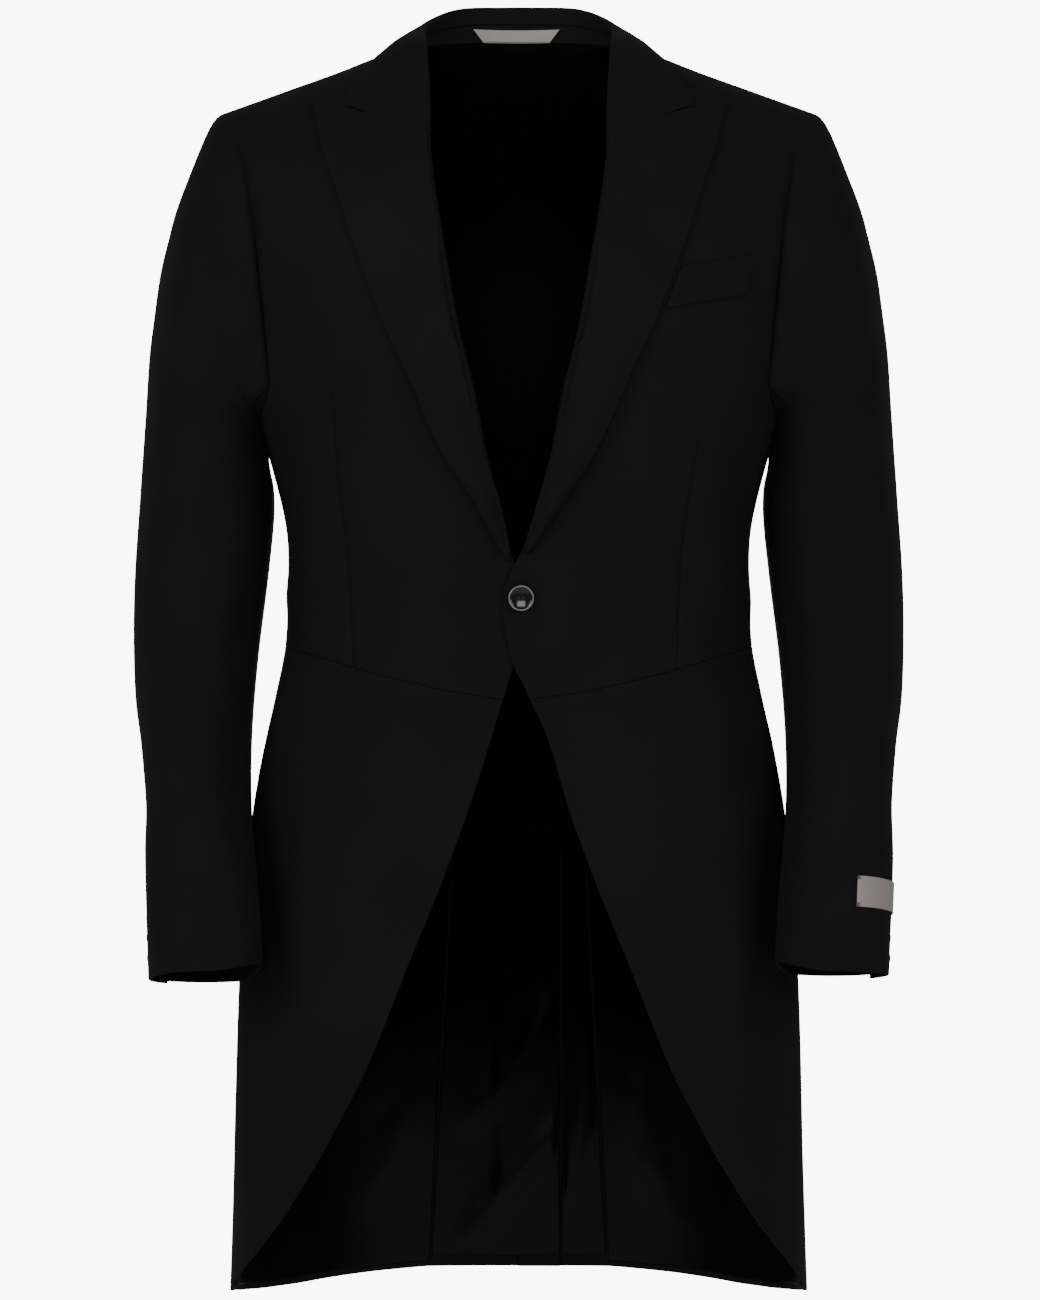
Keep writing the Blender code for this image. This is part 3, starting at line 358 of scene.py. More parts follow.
# creases of the cloth: the middle, length and width, the lean from upright in degrees, and the height;
# phi is signed, the wearer's left is positive
bodyCreases = columns(
    "phi w length width lean out",
    (0.34, -0.196, 0.100, 0.011, 66, 0.0013),       # drag from the button up to the left
    (0.42, -0.226, 0.080, 0.010, 82, -0.0009),
    (0.30, -0.262, 0.090, 0.012, 112, 0.0009),
    (-0.36, -0.190, 0.110, 0.012, -62, 0.0014),     # and up to the right
    (-0.44, -0.222, 0.085, 0.010, -80, -0.0010),
    (-0.30, -0.258, 0.085, 0.012, -115, 0.0009),
    (0.93, 0.045, 0.120, 0.020, 12, -0.0014),       # hollow in front of the left arm
    (-0.96, 0.035, 0.130, 0.020, -10, -0.0015),
    (1.22, -0.118, 0.050, 0.010, 48, 0.0015),       # under the arms
    (-1.20, -0.126, 0.055, 0.010, -44, 0.0014),
    (1.50, -0.210, 0.060, 0.012, 80, 0.0012),
    (-1.52, -0.205, 0.060, 0.012, -84, 0.0012),
    (-1.24, -0.288, 0.060, 0.008, 4, 0.0014),       # pressed spring below the waist seam
    (1.28, -0.300, 0.055, 0.008, -6, 0.0010),
    (0.86, -0.470, 0.230, 0.020, 4, 0.0016),        # skirts, falling soft
    (1.18, -0.560, 0.300, 0.018, -3, -0.0018),
    (1.42, -0.500, 0.240, 0.016, 2, 0.0016),
    (-0.78, -0.500, 0.250, 0.021, -5, 0.0015),
    (-1.10, -0.560, 0.290, 0.018, 3, -0.0018),
    (-1.40, -0.520, 0.260, 0.017, -2, 0.0016),
    (1.80, -0.560, 0.300, 0.020, 3, -0.0022),       # sides and back of the skirts
    (-1.84, -0.570, 0.290, 0.019, -4, -0.0020),
    (2.12, -0.540, 0.260, 0.018, -2, 0.0020),
    (-2.08, -0.550, 0.280, 0.018, 4, 0.0022),
    (2.62, -0.560, 0.330, 0.022, 2, 0.0020),        # tails
    (-2.70, -0.540, 0.300, 0.022, -3, 0.0018),
    (2.86, -0.470, 0.200, 0.014, -4, -0.0014),
    (-2.92, -0.490, 0.190, 0.014, 5, -0.0012),
    (2.74, -0.186, 0.090, 0.013, 84, 0.0017),       # across the small of the back
    (-2.70, -0.178, 0.100, 0.013, -86, 0.0016),
    (2.84, -0.222, 0.070, 0.011, 97, -0.0012),
    (-2.86, -0.218, 0.080, 0.011, -95, -0.0012),
    (2.30, 0.010, 0.140, 0.020, 14, 0.0020),        # behind the arms
    (-2.28, 0.002, 0.150, 0.021, -12, 0.0021),
    (2.46, -0.070, 0.110, 0.016, 28, -0.0015),
    (-2.50, -0.064, 0.120, 0.016, -30, -0.0015),
)

neckEdge = ((0.0880, 0.0100), (0.0872, -0.020), (0.0820, -0.046))
rollLine = ((0.0672, -0.0735), (0.0667, -0.0876), (0.0612, -0.1315), (0.0525, -0.183),
            (0.0450, -0.2253), (0.0330, -0.2737), (0.0232, -0.3243), (0.0128, -0.3621))
rollEnds = {left: (0.0040, -0.3925), right: (0.0064, -0.3970)}
lapelEnds = {left: ((0.0178, -0.3782), (0.0058, -0.3942)), right: ((0.0212, -0.3785), (0.0086, -0.3992))}
frontEdges = {
    left: ((0.0010, -0.3960), (-0.0075, -0.4129), (-0.0117, -0.4302), (-0.0120, -0.4453),
           (-0.0098, -0.4567), (-0.0068, -0.4718), (-0.0037, -0.4808), (0.0083, -0.5058)),
    right: ((0.0045, -0.3990), (-0.0050, -0.4129), (-0.0100, -0.4302), (-0.0100, -0.4453),
            (-0.0060, -0.4600), (-0.0010, -0.4718), (0.0037, -0.4808), (0.0120, -0.5058))}
armholeFront = ((0.2332, -0.0500), (0.2225, -0.067), (0.2165, -0.088), (0.2120, -0.115),
                (0.2075, -0.145), (0.2040, -0.178), (0.2000, -0.212), (0.1975, -0.240),
                (0.1955, -0.262))
armholeBack = ((0.2332, -0.0500), (0.2235, -0.069), (0.2140, -0.097), (0.2060, -0.135),
               (0.1990, -0.175))
backScye = ((0.1990, -0.175), (0.2000, -0.215), (0.2010, -0.248))
sideBodySeam = ((0.1990, -0.175), (0.1600, -0.228), (0.1220, -0.290), (0.0880, -0.355),
                (0.0640, -0.415), (0.0520, -0.462))
tailSeam = ((0.0520, -0.462), (0.0500, -0.500), (0.0530, -0.580), (0.0590, -0.700),
            (0.0660, -0.820), (0.0740, -0.965))
waistFront = ((0.0350, -0.502), (0.0540, -0.499), (0.0790, -0.4935), (0.1040, -0.4875),
              (0.1270, -0.4815), (0.1500, -0.4745), (0.1700, -0.469))
cutaway = ((0.0175, -0.524), (0.0407, -0.5962), (0.0535, -0.631), (0.0665, -0.664),
           (0.0800, -0.6965), (0.0930, -0.729), (0.1065, -0.7632), (0.1195, -0.7931),
           (0.1343, -0.8214), (0.1488, -0.8489), (0.1672, -0.8795), (0.1860, -0.9078),
           (0.2030, -0.930), (0.2160, -0.948), (0.2205, -0.956))
lapelEdge = ((0.1597, -0.0483), (0.1555, -0.064), (0.1490, -0.0905), (0.1400, -0.114),
             (0.1275, -0.155), (0.1148, -0.189), (0.1007, -0.2246), (0.0788, -0.2708),
             (0.0538, -0.3239), (0.0363, -0.3497), (0.0170, -0.378), (0.0085, -0.388))
gorge = ((0.0672, -0.0735), (0.1128, -0.0611), (0.1365, -0.0527), (0.1597, -0.0483))
darts = {left: columns("z x", (-0.2984, 0.1376), (-0.3683, 0.1277), (-0.4192, 0.1224), (-0.4786, 0.1201)),
         right: columns("z x", (-0.2634, 0.1422), (-0.3790, 0.1331), (-0.4300, 0.1282), (-0.4824, 0.1247))}
lines = {"sideSeamPhi": 1.38, "underarmZ": -0.285, "waistSideZ": -0.466, "hemZ": -0.965, "ventTopZ": -0.475,
         "ventUnderlap": 0.0336, "underlapOut": -0.0024, "skirtLiningOut": -0.0030, "liningOut": -0.0014,
         "tuck": 0.0030, "tuckAcross": (0.055, 0.017), "tuckTop": (-0.372, -0.397), "tuckFoot": (-0.545, -0.486)}


def cubic(t, h, first, last, slopeFirst, slopeLast):
    # the cubic between two values with their slopes, at the share t of a step h
    return ((2 * t ** 3 - 3 * t ** 2 + 1) * first + (t ** 3 - 2 * t ** 2 + t) * h * slopeFirst
            + (3 * t ** 2 - 2 * t ** 3) * last + (t ** 3 - t ** 2) * h * slopeLast)


def readColumn(tab, name, at, key):
    # cubic pieces through the table's values, with its own slopes
    x, y = tab[key], tab[name]
    if x[0] > x[-1]:
        x, y = x[::-1], y[::-1]
    slope = np.gradient(y, x)
    at = np.clip(np.asarray(at, float), x[0], x[-1])
    i = np.clip(np.searchsorted(x, at, side="right") - 1, 0, len(x) - 2)
    h = x[i + 1] - x[i]
    return cubic((at - x[i]) / h, h, y[i], y[i + 1], slope[i], slope[i + 1])


def softStep(start, end, at):
    # 0 before start, 1 past end, an even change between
    t = np.clip((np.asarray(at, float) - start) / (end - start), 0.0, 1.0)
    return t * t * (3 - 2 * t)


def smoothRun(points, count):
    # a cubic curve through the points, read at evenly spaced places along it
    points = np.array(points, float)
    weight = np.array([0.2, 1.0]) if points.shape[1] == 2 else np.ones(3)
    along = {"s": runLength(points * weight)}
    for k in range(points.shape[1]):
        along[str(k)] = points[:, k]
    places = np.linspace(0.0, along["s"][-1], count)
    return np.stack([readColumn(along, str(k), places, "s") for k in range(points.shape[1])], axis=1)


def joinRuns(*runs):
    return np.concatenate([runs[0]] + [run[1:] for run in runs[1:]])


def bodyPoint(phi, w):
    # the coat's inner face: each level is a ring x = half sin(phi)^p, y = depth cos(phi)^p, which above
    # the chest closes over the shoulders to the ridge along a quarter of a sine
    phi, w = np.broadcast_arrays(np.asarray(phi, float), np.asarray(w, float))
    turn, lean = np.sin(phi), np.cos(phi)
    power, wall = 2.0 / form["roundness"], cloth["wall"]
    x = (readColumn(torso, "half", w, "w") - wall) * np.sign(turn) * np.abs(turn) ** power
    rise = np.clip(w / form["ridge"], 0.0, 1.0) * math.pi / 2
    top = readColumn(shoulder, "z", np.abs(x), "x") - wall
    nape = readColumn(shoulder, "nape", np.abs(x), "x")
    chestZ = form["chestZ"]
    z = np.where(w > 0.0, chestZ + (top - chestZ) * np.sin(rise), chestZ + w)
    flat = np.abs(lean) ** power
    front = -(readColumn(torso, "front", w, "w") - wall) * flat
    back = (readColumn(torso, "back", w, "w") - wall) * flat
    seat = np.where(lean < 0.0, nape, form["ridgeY"])
    far = np.where(lean < 0.0, back, front)
    nearNeck = np.where(lean < 0.0, softStep(0.105, 0.050, np.abs(x)), 0.0)
    drop = (1 - nearNeck) * np.cos(rise) + nearNeck * (1 - np.sin(rise) ** form["napePower"])
    y = np.where(w > 0.0, seat + (far - seat) * drop, far)
    return np.stack([x, y, z], axis=-1)


def unroll(x, z, behind=False):
    # the turn phi and height w of the point seen at x, z from the front, or from behind
    x, z = np.asarray(x, float), np.asarray(z, float)
    top = readColumn(shoulder, "z", np.abs(x), "x")
    reach = np.clip((z - form["chestZ"]) / (top - form["chestZ"]), 0.0, 1.0)
    w = np.where(z > form["chestZ"], np.arcsin(reach) / (math.pi / 2) * form["ridge"], z - form["chestZ"])
    ratio = np.clip(np.abs(x) / readColumn(torso, "half", w, "w"), 0.0, 1.0)
    phi = np.sign(x) * np.arcsin(ratio ** (form["roundness"] / 2.0))
    return np.stack([math.pi - phi if behind else phi, w], axis=-1)


def seam(points, behind=False):
    points = np.array(points, float)
    return unroll(points[:, 0], points[:, 1], behind)


def normalsOf(grid):
    # the cross product of a grid's own row and column directions
    n = np.cross(np.gradient(grid, axis=1), np.gradient(grid, axis=0))
    return n / np.maximum(np.linalg.norm(n, axis=-1, keepdims=True), 1e-9)


def bodyNormal(phi, w):
    # the form's own normal, from small steps round and down; it doesn't need a patch's rows
    step = 0.0005
    return unit(np.cross(bodyPoint(phi + step, w) - bodyPoint(phi - step, w),
                         bodyPoint(phi, w) - bodyPoint(phi, w - step)))


def awayFrom(grid, middle):
    # normals turned to point away from a middle point, or from the upright axis where none is given
    n = normalsOf(grid)
    i, j = grid.shape[0] // 2, grid.shape[1] // 2
    way = grid[i, j] * np.array([1.0, 1.0, 0.0]) if middle is None else grid[i, j] - middle
    return n if np.dot(n[i, j], way) > 0 else -n


def coons(top, bottom, start, end):
    # a patch between four edges: the two ruled patches together, less the one through the corners
    s = np.linspace(0, 1, len(top))[None, :, None]
    t = np.linspace(0, 1, len(start))[:, None, None]
    ruled = (1 - t) * top[None] + t * bottom[None] + (1 - s) * start[:, None] + s * end[:, None]
    corners = ((1 - s) * (1 - t) * top[0] + s * (1 - t) * top[-1]
               + (1 - s) * t * bottom[0] + s * t * bottom[-1])
    return ruled - corners


def resample(grid, down, across):
    # values between a grid's points, by even shares of the four around; across may differ row by row
    down = np.asarray(down, float)[:, None] * (grid.shape[0] - 1)
    across = np.broadcast_to(across, (len(down), np.shape(across)[-1])) * (grid.shape[1] - 1)
    a = np.clip(down.astype(int), 0, grid.shape[0] - 2)
    b = np.clip(across.astype(int), 0, grid.shape[1] - 2)
    f, g = (down - a)[..., None], (across - b)[..., None]
    return ((grid[a, b] * (1 - g) + grid[a, b + 1] * g) * (1 - f)
            + (grid[a + 1, b] * (1 - g) + grid[a + 1, b + 1] * g) * f)


def creaseHeight(across, along, rows):
    # each crease is a bell across its own line and a flatter bell along it, turned by its lean
    lean = np.radians(rows["lean"])
    a = across[..., None] - rows["a"]
    b = along[..., None] - rows["b"]
    over = a * np.cos(lean) - b * np.sin(lean)
    length = a * np.sin(lean) + b * np.cos(lean)
    height = np.exp(-(over / rows["width"]) ** 2 - (2 * length / rows["length"]) ** 4)
    return np.sum(rows["out"] * height, axis=-1)


def bodyFolds(phi, w, side):
    # the broad folds and the creases; a radian round the body is taken as one length everywhere
    turn = np.mod(phi + math.pi, 2 * math.pi) - math.pi
    a = (np.abs(turn)[..., None] - broadFolds["phi"]) / broadFolds["spreadPhi"]
    b = (w[..., None] - broadFolds["w"]) / broadFolds["spreadW"]
    broad = np.sum(broadFolds["out"] * np.exp(-a ** 2 - b ** 2), axis=-1)
    metres = cloth["bodyRadian"]
    rows = dict(bodyCreases, a=bodyCreases["phi"] * metres, b=bodyCreases["w"])
    return broad + creaseHeight(side * turn * metres, w, rows)


def onBody(patch, side, out=0.0):
    # points of a patch moved out from the cloth's inner face, and mirrored to their side
    phi, w = patch[..., 0], patch[..., 1]
    normal = bodyNormal(phi, w)
    grid = bodyPoint(phi, w) + normal * (bodyFolds(phi, w, side) + out)[..., None]
    return mirrored(grid, side), mirrored(normal, side)


# Cloth as a thin closed shell with folded edges

def rimPlaces(grid, axis, rims):
    # the grid's own places, with a few more just inside both edges for the fold to round over
    steps = np.linalg.norm(np.diff(grid, axis=axis), axis=-1)
    count = grid.shape[axis]
    first = np.array(rims) / np.take(steps, 0, axis=axis).mean()
    last = np.array(rims) / np.take(steps, -1, axis=axis).mean()
    first, last = first[first < 0.9] / (count - 1), last[last < 0.9] / (count - 1)
    inner = np.linspace(0.0, 1.0, count)[1:-1]
    return np.concatenate([[0.0], first, inner, 1.0 - last[::-1], [1.0]])


def edgeDistance(grid):
    # how far each point is from the nearest of the four edges, and its own run from the first two
    def run(axis):
        step = np.linalg.norm(np.diff(grid, axis=axis), axis=-1)
        pad = [(0, 0), (0, 0)]
        pad[axis] = (1, 0)
        return np.pad(np.cumsum(step, axis=axis), pad)
    down, across = run(0), run(1)
    far = np.minimum(np.minimum(down, down[-1:] - down), np.minimum(across, across[:, -1:] - across))
    return far, across, down


def newPiece(name, points, faces, look, uv=None):
    mesh = bpy.data.meshes.new(name)
    mesh.from_pydata(points.tolist(), [], faces)
    if uv is not None:
        layer = mesh.uv_layers.new(name="cloth")
        corner = np.zeros(len(mesh.loops), np.int32)
        mesh.loops.foreach_get("vertex_index", corner)
        layer.data.foreach_set("uv", uv[corner].astype(np.float32).ravel())
    mesh.materials.append(look)
    mesh.shade_smooth()
    made = bpy.data.objects.new(name, mesh)
    scene.collection.objects.link(made)
    return made


def clothShell(name, shape, look, wall):
    # shape is a grid of points of the inner face, and the way that each one faces; the outer face stands a wall
    # off it, and at the edges both are drawn together by a quarter circle
    grid, normal = shape
    down, across = rimPlaces(grid, 0, cloth["rimRows"]), rimPlaces(grid, 1, cloth["rimRows"])
    both = resample(np.concatenate([grid, normal], axis=-1), down, across)
    grid, normal = both[..., :3], unit(both[..., 3:])
    far, u, v = edgeDistance(grid)
    fold = min(cloth["fold"], wall)
    share = np.sqrt(1 - (1 - np.clip(far / fold, 0, 1)) ** 2)[..., None]
    outer, inner = grid + normal * wall * (1 + share) / 2, grid + normal * wall * (1 - share) / 2
    rows, cols = far.shape
    number = np.arange(rows * cols).reshape(rows, cols)
    second = number.copy()
    second[1:-1, 1:-1] = rows * cols + np.arange((rows - 2) * (cols - 2)).reshape(rows - 2, cols - 2)

    def quads(n, ahead):
        corners = [n[:-1, :-1], n[:-1, 1:], n[1:, 1:], n[1:, :-1]]
        return np.stack([c.ravel() for c in (corners if ahead else corners[::-1])], axis=1)
    i, j = rows // 2, cols // 2
    ahead = float(np.dot(np.cross(grid[i, j + 1] - grid[i, j], grid[i + 1, j] - grid[i, j]), normal[i, j])) > 0
    faces = np.concatenate([quads(number, ahead), quads(second, not ahead)])
    points = np.concatenate([outer.reshape(-1, 3), inner[1:-1, 1:-1].reshape(-1, 3)])
    uv = np.stack([u, v], axis=-1)
    uv = np.concatenate([uv.reshape(-1, 2), uv[1:-1, 1:-1].reshape(-1, 2)])
    return newPiece(name, points, faces.tolist(), look, uv)


def woolShell(name, shape):
    return clothShell(name, shape, wool, cloth["wall"])


def settle(piece, node):
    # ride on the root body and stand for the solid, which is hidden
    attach(piece, "root")
    if node:
        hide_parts(node)


fine = {"shoulder": 50, "neck": 8, "roll": 36, "front": 20, "arm": 32, "underarm": 6, "side": 26, "scye": 24,
        "armBack": 20, "tail": 70, "waistFront": 44, "waistBack": 26, "backNeck": 14, "backShoulder": 30}


def level(z):
    return z - form["chestZ"]


def ridgeRun(xs, behind=False):
    return seam([(x, 1.0) for x in xs], behind)


def foldSize(z):
    # the roll of the lapel is smaller near its lower end
    return 1.0 - 0.55 * softStep(-0.320, -0.385, z)


def besideRoll(points, reach):
    points = np.array(points, float)
    points[..., 0] += reach * foldSize(points[..., 1])
    return points


def frontArmhole(share):
    # how far round its front the armhole is, from nothing at the shoulder to nothing under the arm
    return softStep(0.10, 0.28, share) * softStep(0.97, 0.80, share)


waistSide = (lines["sideSeamPhi"], level(lines["waistSideZ"]))
underarm = (lines["sideSeamPhi"], level(lines["underarmZ"]))
underarmTurn = (1.275, level(lines["underarmZ"]) + 0.008)
shoulderStops = (form["neckPoint"], 0.110, 0.140, 0.170, 0.200, form["shoulderPoint"])
sideRun = smoothRun([underarm, waistSide], fine["side"] + 1)
armRun = smoothRun(seam(armholeFront), fine["arm"] + 1)
armTurnRun = smoothRun([armRun[-1], underarmTurn, underarm], fine["underarm"] + 1)
armBackRun = smoothRun(seam(armholeBack, True), fine["armBack"] + 1)
scyeRun = smoothRun(np.vstack([[underarm], [(math.pi / 2, level(lines["underarmZ"]) - 0.002)],
                               seam(backScye[::-1], True)]), fine["scye"] + 1)
armFrontRun = joinRuns(armRun, armTurnRun, scyeRun[:5])
sideBodyRun = smoothRun(seam(sideBodySeam, True), fine["side"] + 1)
tailRun = smoothRun(seam(tailSeam, True), fine["tail"] + 1)
waistBackRun = smoothRun([waistSide, (2.0, waistSide[1] + 0.003), sideBodyRun[-1]], fine["waistBack"] + 1)


def waistFrontRun(side):
    start = seam(frontEdges[side][-1:])
    return smoothRun(np.vstack([start, seam(waistFront), [waistSide]]), fine["waistFront"] + 1)


def foreEdgeRuns(side):
    roll = smoothRun(seam(besideRoll(rollLine, 0.0029)), fine["roll"] + 1)
    neck = smoothRun(np.vstack([seam(neckEdge), roll[:1]]), fine["neck"] + 1)
    front = smoothRun(np.vstack([roll[-1:], seam(frontEdges[side])]), fine["front"] + 1)
    return neck, roll, front


def tuckUnder(patch, side):
    # the wearer's right front lies behind the left one, round the button
    at = bodyPoint(patch[..., 0], patch[..., 1])
    near = softStep(*lines["tuckAcross"], at[..., 0])
    high = softStep(*lines["tuckTop"], at[..., 2]) * softStep(*lines["tuckFoot"], at[..., 2])
    return -lines["tuck"] * near * high if side == right else np.zeros(near.shape)


dart = {"deep": 0.0011, "narrow": 0.0009, "dip": 0.0007, "wide": 0.006, "fadeUp": 0.004, "fadeDown": 0.035,
        "columns": (0.0, 0.0004, 0.0009, 0.0016, 0.003), "row": 0.30}


def dartLine(patch, side):
    # where each row of the forepart crosses the dart, as a share of the row
    at = bodyPoint(patch[..., 0], patch[..., 1])
    beyond = at[..., 0] - readColumn(darts[side], "x", at[..., 2], "z")
    j = np.clip(np.argmax(beyond > 0, axis=1), 1, patch.shape[1] - 1)
    i = np.arange(len(j))
    share = -beyond[i, j - 1] / (beyond[i, j] - beyond[i, j - 1])
    return (j - 1 + share) / (patch.shape[1] - 1)


def armholeSink(patch):
    # the front sinks to the armhole seam in a bell across it
    track = smoothRun(armFrontRun, 161)
    place, at = bodyPoint(track[:, 0], track[:, 1]), bodyPoint(patch[..., 0], patch[..., 1])
    along = runLength(place)
    off = np.linalg.norm(at[:, :, None] - place, axis=-1)
    share = along[np.argmin(off, axis=-1)] / along[-1]
    return -sleeve["sink"] * frontArmhole(share) * bell(np.min(off, axis=-1), sleeve["sinkWidth"])


def forepartGrid(side):
    # a patch from shoulder seam to waist seam whose columns crowd together along the waist dart
    top = smoothRun(ridgeRun(shoulderStops), fine["shoulder"] + 1)
    bottom = smoothRun(waistFrontRun(side), fine["shoulder"] + 1)
    patch = coons(top, bottom, joinRuns(*foreEdgeRuns(side)), joinRuns(armRun, armTurnRun, sideRun))
    cross = dartLine(patch, side)[:, None]
    crowd = np.array(dart["columns"]) / dart["row"]        # as shares of a row about 0.15 m long, halved
    middle = np.concatenate([0.5 - crowd[:0:-1], 0.5 + crowd])
    even = np.linspace(0, 1, fine["shoulder"] + 1)
    even = even[np.abs(even - 0.5) > crowd[-1] * 1.3]
    places = np.sort(np.concatenate([even, middle]))[None, :]
    across = np.where(places < 0.5, 2 * places * cross, 1 - 2 * (1 - places) * (1 - cross))
    patch = resample(patch, np.linspace(0, 1, len(patch)), across)
    at = bodyPoint(patch[..., 0], patch[..., 1])
    off = at[..., 0] - readColumn(darts[side], "x", at[..., 2], "z")
    topZ = darts[side]["z"][0]
    run = softStep(topZ + dart["fadeUp"], topZ - dart["fadeDown"], at[..., 2])
    groove = -run * (dart["deep"] * bell(off, dart["narrow"]) + dart["dip"] * bell(off, dart["wide"]))
    return onBody(patch, side, tuckUnder(patch, side) + groove + armholeSink(patch))


def sideBodyGrid(side):
    scye = smoothRun(scyeRun, fine["waistBack"] + 1)
    return onBody(coons(scye, waistBackRun, sideRun, sideBodyRun), side)


def evened(patch, rounds=1500):
    # each inner point moves to the middle of its four neighbours, again and again
    for _ in range(rounds):
        patch[1:-1, 1:-1] = (patch[:-2, 1:-1] + patch[2:, 1:-1] + patch[1:-1, :-2] + patch[1:-1, 2:]) / 4
    return patch


# the hem's height over the level of the tails, by the turn round the body
sideHem = ((1.375, 0.0058), (1.42, 0.0026), (1.49, -0.0004), (1.60, -0.0030), (1.76, -0.0066), (2.0, -0.0100),
           (2.22, -0.0095), (2.44, -0.0068), (2.66, -0.0032))


def skirtPatch(side):
    # the hem rounds the front corner and hangs a little lower at the side than behind
    waist = joinRuns(waistFrontRun(side), waistBackRun)
    front = smoothRun(np.vstack([waist[:1], seam(cutaway)]), fine["tail"] + 1)
    low = level(lines["hemZ"])
    points = [front[-1]] + [(phi, low + over) for phi, over in sideHem] + [tailRun[-1]]
    hem = smoothRun(np.array(points), len(waist))
    return evened(coons(waist, hem, front, tailRun))


def skirtGrid(side):
    patch = skirtPatch(side)
    return onBody(patch, side, tuckUnder(patch, side))


def backPatch():
    nape = smoothRun(ridgeRun((0.0, 0.030, 0.060, form["neckPoint"]), True), fine["backNeck"] + 1)
    ridge = smoothRun(ridgeRun(shoulderStops, True), fine["backShoulder"] + 1)
    side = joinRuns(armBackRun, sideBodyRun, tailRun)
    centre = np.stack([np.full(len(side), math.pi), side[:, 1]], axis=1)
    hem = smoothRun([centre[-1], side[-1]], fine["backNeck"] + fine["backShoulder"] + 1)
    return coons(joinRuns(nape, ridge), hem, centre, side)


lapel = {"rows": 110, "across": 26, "arc": 8, "root": 0.0020, "reach": 0.0025, "rise": 0.0040, "rootLift": 0.0026,
         "edgeOut": 0.0028, "looseOut": 0.0050, "bow": 0.0016, "looseBow": 0.0028}


def lapelGrid(side):
    # a quarter ellipse turns the cloth over at the roll; from there it lies on the chest, bowed a little,
    # and stands off it low down
    roll = np.vstack([rollLine, [rollEnds[side]]])
    outer = smoothRun(seam(np.vstack([lapelEdge[:-2], lapelEnds[side]])), lapel["rows"])
    inner = smoothRun(seam(besideRoll(roll, lapel["root"] + lapel["reach"])), lapel["rows"])
    top = smoothRun(np.vstack([inner[:1], seam(gorge[1:])]), lapel["across"])
    foot = smoothRun([inner[-1], outer[-1]], lapel["across"])
    patch = coons(top, foot, inner, outer)
    across = np.linspace(0, 1, lapel["across"])[None, :]
    z = bodyPoint(patch[..., 0], patch[..., 1])[..., 2]
    loose = softStep(-0.180, -0.320, z) * softStep(-0.390, -0.360, z)
    out = (lapel["rise"] * (1 - across) + (lapel["edgeOut"] + lapel["looseOut"] * loose) * across
           + (lapel["bow"] + lapel["looseBow"] * loose) * np.sin(math.pi * across))
    angle = np.linspace(0, math.pi / 2, lapel["arc"] + 1)[None, :-1]
    run = smoothRun(roll, lapel["rows"])[:, None, :]
    reach = lapel["root"] + lapel["reach"] * (1 - np.cos(angle))
    beside = np.repeat(run, lapel["arc"], axis=1)
    beside[..., 0] += reach * foldSize(beside[..., 1])
    turn = unroll(beside[..., 0], beside[..., 1])
    lift = lapel["rootLift"] * softStep(-0.335, -0.370, z[:, :1])
    patch = np.concatenate([turn, patch], axis=1)
    out = np.concatenate([lift + (lapel["rise"] - lift) * np.sin(angle), out], axis=1)
    grid = onBody(patch, side, out)[0]
    return grid, awayFrom(grid, None)


collarTable = columns(
    "u roll_x roll_y roll_z edge_x edge_y edge_z foot_x foot_y foot_z",
    (0.00, 0.0680, -0.0919, -0.0720, 0.1358, -0.0580, -0.0500, 0.0690, -0.0880, -0.0725),
    (0.25, 0.0700, -0.0685, -0.0353, 0.1214, -0.0358, -0.0235, 0.0808, -0.0652, -0.0405),
    (0.42, 0.0724, -0.0320, 0.0010, 0.1075, -0.0110, -0.0058, 0.0858, -0.0366, -0.0136),
    (0.55, 0.0740, 0.0040, 0.0140, 0.1010, 0.0080, -0.0008, 0.0872, 0.0040, 0.0015),
    (0.70, 0.0690, 0.0370, 0.0270, 0.0865, 0.0390, -0.0015, 0.0753, 0.0283, 0.0060),
    (0.85, 0.0445, 0.0640, 0.0400, 0.0573, 0.0748, -0.0015, 0.0455, 0.0583, 0.0120),
    (1.00, 0.0000, 0.0735, 0.0427, 0.0000, 0.0895, -0.0033, 0.0000, 0.0694, 0.0145),
)
collarShape = {"rows": 57, "across": 44, "swell": 0.0034, "moreSwell": 0.0012, "fall": (0.12, 0.34, 0.56, 0.78, 1.0),
               "endOut": 0.0020, "endDown": 0.0016, "lean": 0.0012, "foldRows": 14}
notch = {"count": 61, "picked": [9, 21, 34, 47, 60], "startOut": 0.0046, "drop": -0.0016, "rise": 0.0022,
         "open": 0.0024, "middle": 0.82, "width": 0.12}


def gorgeSpots():
    # the front end of the fall lies along the lapel's upper edge, a hair above it; near the notch the two
    # stand apart in a slit, a bell along the gorge
    line = smoothRun(seam(gorge[:3]), notch["count"])
    places = bodyPoint(line[:, 0], line[:, 1])
    push = awayFrom(np.stack([places, bodyPoint(line[:, 0], line[:, 1] + 0.002)], axis=0), None)[0]
    raised = places + push * np.linspace(notch["startOut"], cloth["wall"] + cloth["air"], notch["count"])[:, None]
    share = np.linspace(0, 1, notch["count"])
    slit = notch["open"] * bell(share - notch["middle"], notch["width"])
    raised[:, 2] += notch["drop"] + notch["rise"] * share + slit
    return raised[notch["picked"]]


